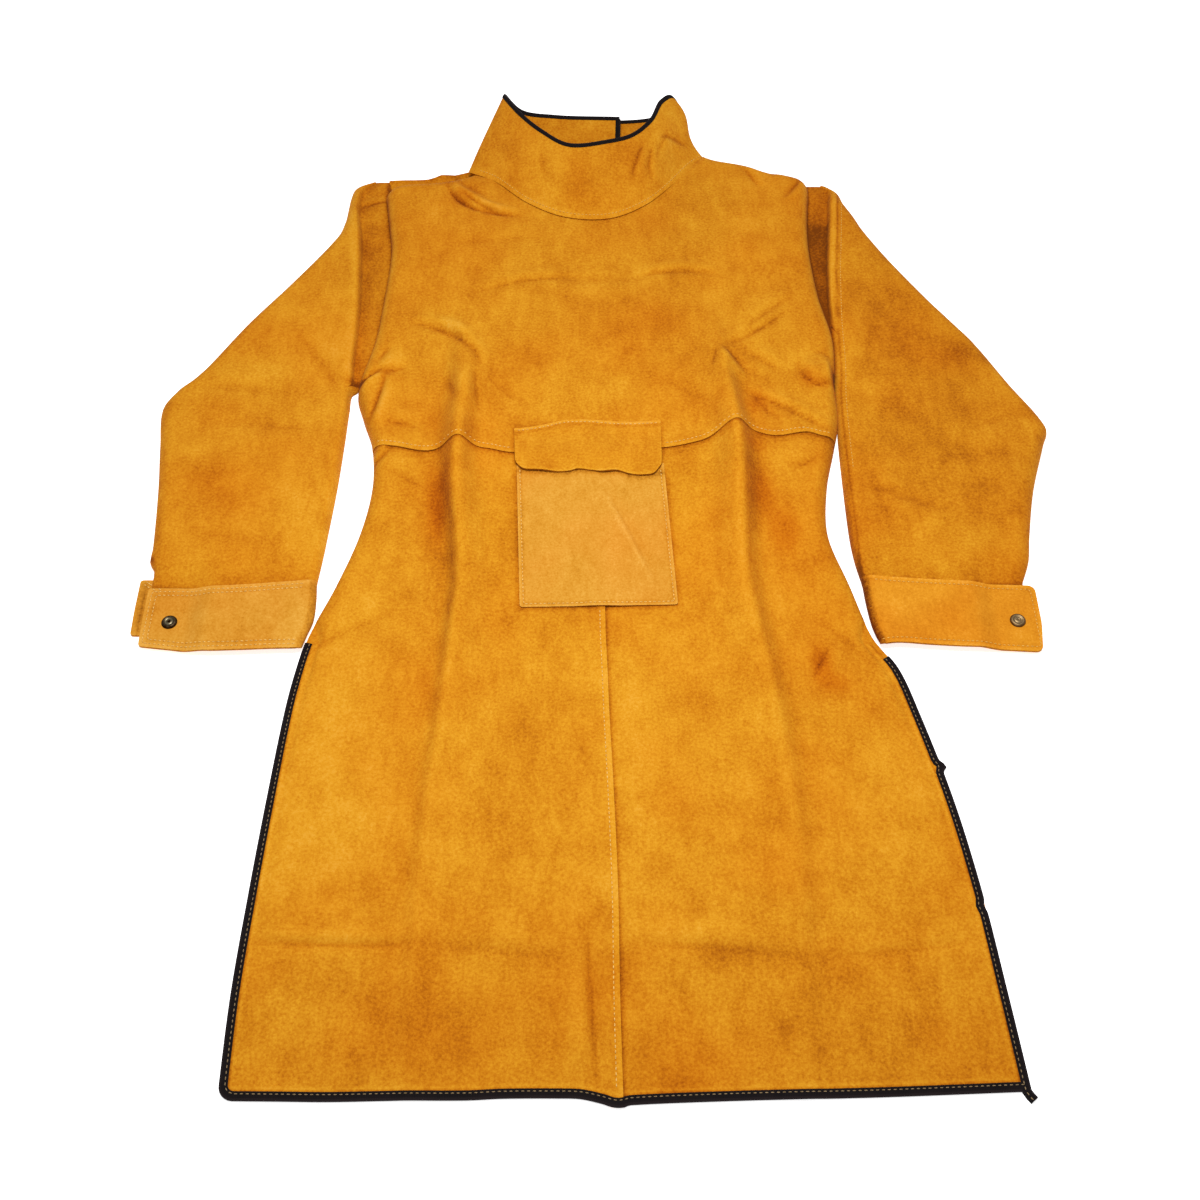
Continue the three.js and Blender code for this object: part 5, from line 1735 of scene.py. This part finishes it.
class APRON_OT_tapes(ApronOperator, bpy.types.Operator):
    """Folds black tape over the skirt's sides, the hem and the back opening"""

    bl_idname = "apron.tapes"
    bl_label = "Tapes"

    def execute(self, context):
        sizes = sized(context)
        section = tape_section(sizes.tape_width / MM, sizes.leather / MM, sizes.tape / MM)
        for name, points in bound_edges().items():
            patch = tape_patch(points, *level_frame(points), section)
            tape = grid_piece(f"tape_{name}", [patch], (black_tape(context),), sizes.tape)
            node = f"back_binding_{name[5:]}" if name.startswith("back") else f"binding_{name}"
            dress(tape, "black_tape", node)
        return {"FINISHED"}


def inset_rows(side, inset):
    """Row of stitches round a cuff's upper ply, at a distance inside its edges."""
    cuff = CUFFS[side]
    out = math.copysign(1, cuff["upper"])
    start = cuff["fold"]["x"][-1] + out * CUFF_ROWS["from_fold"]
    across = np.linspace(start, cuff["upper"] - out * inset, CUFF_ROWS["points"])
    top = np.column_stack((across, cuff_edge(cuff, "top", across) - inset))
    low = np.column_stack((across, cuff_edge(cuff, "bottom", across) + inset))
    return np.vstack((top, low[::-1]))


def seam_rows():
    """Rows of stitches of each thread: the sheet under them and the lines that they follow."""
    waist = []
    for side in ("left", "right"):
        x = np.linspace(*WAIST_SEAM[side], WAIST_SEAM["points"])
        waist.append(np.column_stack((x, waist_at(x) + WAIST_SEAM["above"])))
    up = np.linspace(*CENTRE_SEAM["y"], CENTRE_SEAM["points"])
    centre = np.column_stack((at(FRONT, "centre", up) - CENTRE_SEAM["beside"], up))
    (x0, y0), (x1, y1) = POUCH["bottom"]
    (x2, y2), (x3, y3) = POUCH["top"]
    inside, end = POUCH_SEAM["inside"], POUCH_SEAM["below_top"]
    low = [(x0 + inside, y0 + inside), (x1 - inside, y1 + inside)]
    pouch = np.array([(x2 + inside, y2 - end), *low, (x3 - inside, y3 - end)])
    x = np.linspace(*FLAP_SEAM["x"], FLAP_SEAM["points"])
    flap = np.column_stack((x, at(FLAP_TOP, "y", x, "x") - FLAP_SEAM["below"]))
    up = np.linspace(*STRIP_SEAM["y"], STRIP_SEAM["points"])
    strip = np.column_stack((at(SLEEVE_STRIP, "x", up) + STRIP_SEAM["beside"], up))
    around = np.linspace(*NECK_SEAM["around"], NECK_SEAM["points"])
    neck = collar_surface(around, np.full_like(around, NECK_SEAM["up"]))[0][:, :2]
    left, right = ([inset_rows(side, inset) for inset in CUFF_ROWS[side]] for side in ("left", "right"))
    tack = np.array(CUFF_TACK)
    tacks = [tack, tack + CUFF_TACK_STEP, np.array(CUFF_SHORT_TACK)]
    return {
        "pale": {
            "skirt_left_hide": [centre],
            "bodice_hide": waist,
            "pouch_hide": [pouch],
            "flap_hide": [flap],
            "cuff_left_hide": left + tacks,
        },
        "golden": {"cuff_right_hide": right, "sleeve_right_hide": [strip], "collar_hide": [neck]},
    }


def between(spots, normals):
    """Middles, ways along and normals of the stitches from each spot to the next."""
    return (spots[1:] + spots[:-1]) / 2, np.diff(spots, axis=0), normals[1:]


def dropped(sheet, line, spacing):
    """Stitches along a line, let down onto a finished sheet."""
    tree = BVHTree.FromObject(bpy.data.objects[sheet], bpy.context.evaluated_depsgraph_get())
    found = []
    for x, y in resampled(line, spacing):
        start = Vector(placed((x, y, STITCH["drop_from"])))
        spot, normal, _, _ = tree.ray_cast(start, Vector((0, 0, -1)))
        if spot:
            found.append((*spot, *normal))
    found = np.array(found)
    return between(found[:, :3], found[:, 3:])


def stitched(name, rows, material, length, thickness):
    """One mesh of many stitches, each a short plump thread sunk a little at both ends."""
    template = bmesh.new()
    bmesh.ops.create_uvsphere(
        template, u_segments=STITCH["around"], v_segments=STITCH["along"], radius=0.5
    )
    template.verts.ensure_lookup_table()
    corners = np.array([vert.co[:] for vert in template.verts])
    faces = [[vert.index for vert in face.verts] for face in template.faces]
    template.free()
    corners = corners[:, (2, 0, 1)] * (length, thickness, STITCH["flat"] * thickness)
    spots, along, normals = (np.vstack(parts) for parts in zip(*rows))
    along = unit(along)
    sides = unit(np.cross(normals, along))
    ups = np.cross(along, sides)
    frames = np.stack((along, sides, ups), 1)
    middles = spots + ups * STITCH["lift"] * thickness
    verts = np.einsum("ij,kjl->kil", corners, frames) + middles[:, None]
    starts = range(0, len(spots) * len(corners), len(corners))
    mesh = bpy.data.meshes.new(name)
    mesh.from_pydata(
        verts.reshape(-1, 3).tolist(), [], [[start + i for i in face] for start in starts for face in faces]
    )
    mesh.polygons.foreach_set("use_smooth", np.ones(len(mesh.polygons), bool))
    mesh.materials.append(material)
    return linked(name, mesh)


def tape_rows(height):
    """Stitches along the middle of each tape's upper face."""
    rows = []
    for points in bound_edges().values():
        inward, normal = level_frame(points)
        line = points + inward * TAPE_SEAM["inside"] + normal * height
        fine = resampled(np.hstack((line, normal)), TAPE_SEAM["spacing"])
        rows.append(between(placed(fine[:, :3]), fine[:, 3:]))
    return rows


class APRON_OT_stitches(ApronOperator, bpy.types.Operator):
    """Sews the visible rows of stitches"""

    bl_idname = "apron.stitches"
    bl_label = "Stitches"

    def execute(self, context):
        sizes, finish = sized(context), context.scene.apron_finish
        threads = {
            "pale": spun_thread("pale_spun_polyester_thread", tuple(finish.thread), linear("#b57d2a")),
            "golden": spun_thread(
                "golden_spun_polyester_thread", tuple(finish.seam_thread), linear("#b4761c")
            ),
        }
        tan = spun_thread("tan_spun_polyester_thread", tuple(finish.tape_thread), linear("#6d5a3a"))
        spacing = sizes.spacing / MM
        for name, seams in seam_rows().items():
            rows = [dropped(sheet, line, spacing) for sheet, lines in seams.items() for line in lines]
            piece = stitched(f"{name}_stitches", rows, threads[name], sizes.stitch, sizes.thread)
            dress(piece, "pale_suede")
        rows = tape_rows(sizes.leather / MM / 2 + TAPE_GAP + sizes.tape / MM + TAPE_SEAM["above"])
        thin = TAPE_SEAM["thread"] * sizes.thread
        piece = stitched("tape_stitches", rows, tan, TAPE_SEAM["stitch"] * MM, thin)
        dress(piece, "black_tape")
        return {"FINISHED"}


class APRON_PT_sidebar(bpy.types.Panel):
    """Lists the garment's operators and settings"""

    bl_idname = "APRON_PT_sidebar"
    bl_label = "Sleeved Welding Apron"
    bl_space_type = "VIEW_3D"
    bl_region_type = "UI"
    bl_category = "Apron"

    def draw(self, context):
        for operator in OPERATORS:
            self.layout.operator(operator.bl_idname)
        for group in (context.scene.apron_sizes, context.scene.apron_finish, context.scene.apron_stage):
            box = self.layout.box()
            for name in group.__annotations__:
                box.prop(group, name)


OPERATORS = (
    APRON_OT_stage,
    APRON_OT_back,
    APRON_OT_front,
    APRON_OT_sleeves,
    APRON_OT_cuffs,
    APRON_OT_collar,
    APRON_OT_pocket,
    APRON_OT_tapes,
    APRON_OT_stitches,
)
GROUPS = {"apron_sizes": ApronSizes, "apron_finish": ApronFinish, "apron_stage": ApronStage}


def register():
    for item in (*GROUPS.values(), *OPERATORS, APRON_PT_sidebar):
        bpy.utils.register_class(item)
    for name, group in GROUPS.items():
        setattr(bpy.types.Scene, name, PointerProperty(type=group))


def unregister():
    for name in GROUPS:
        delattr(bpy.types.Scene, name)
    for item in reversed((*GROUPS.values(), *OPERATORS, APRON_PT_sidebar)):
        bpy.utils.unregister_class(item)


def main():
    register()
    bpy.ops.apron.stage()
    bpy.ops.apron.back()
    bpy.ops.apron.front()
    bpy.ops.apron.sleeves()
    bpy.ops.apron.cuffs()
    bpy.ops.apron.collar()
    bpy.ops.apron.pocket()
    bpy.ops.apron.tapes()
    bpy.ops.apron.stitches()


if __name__ == "__main__":
    main()
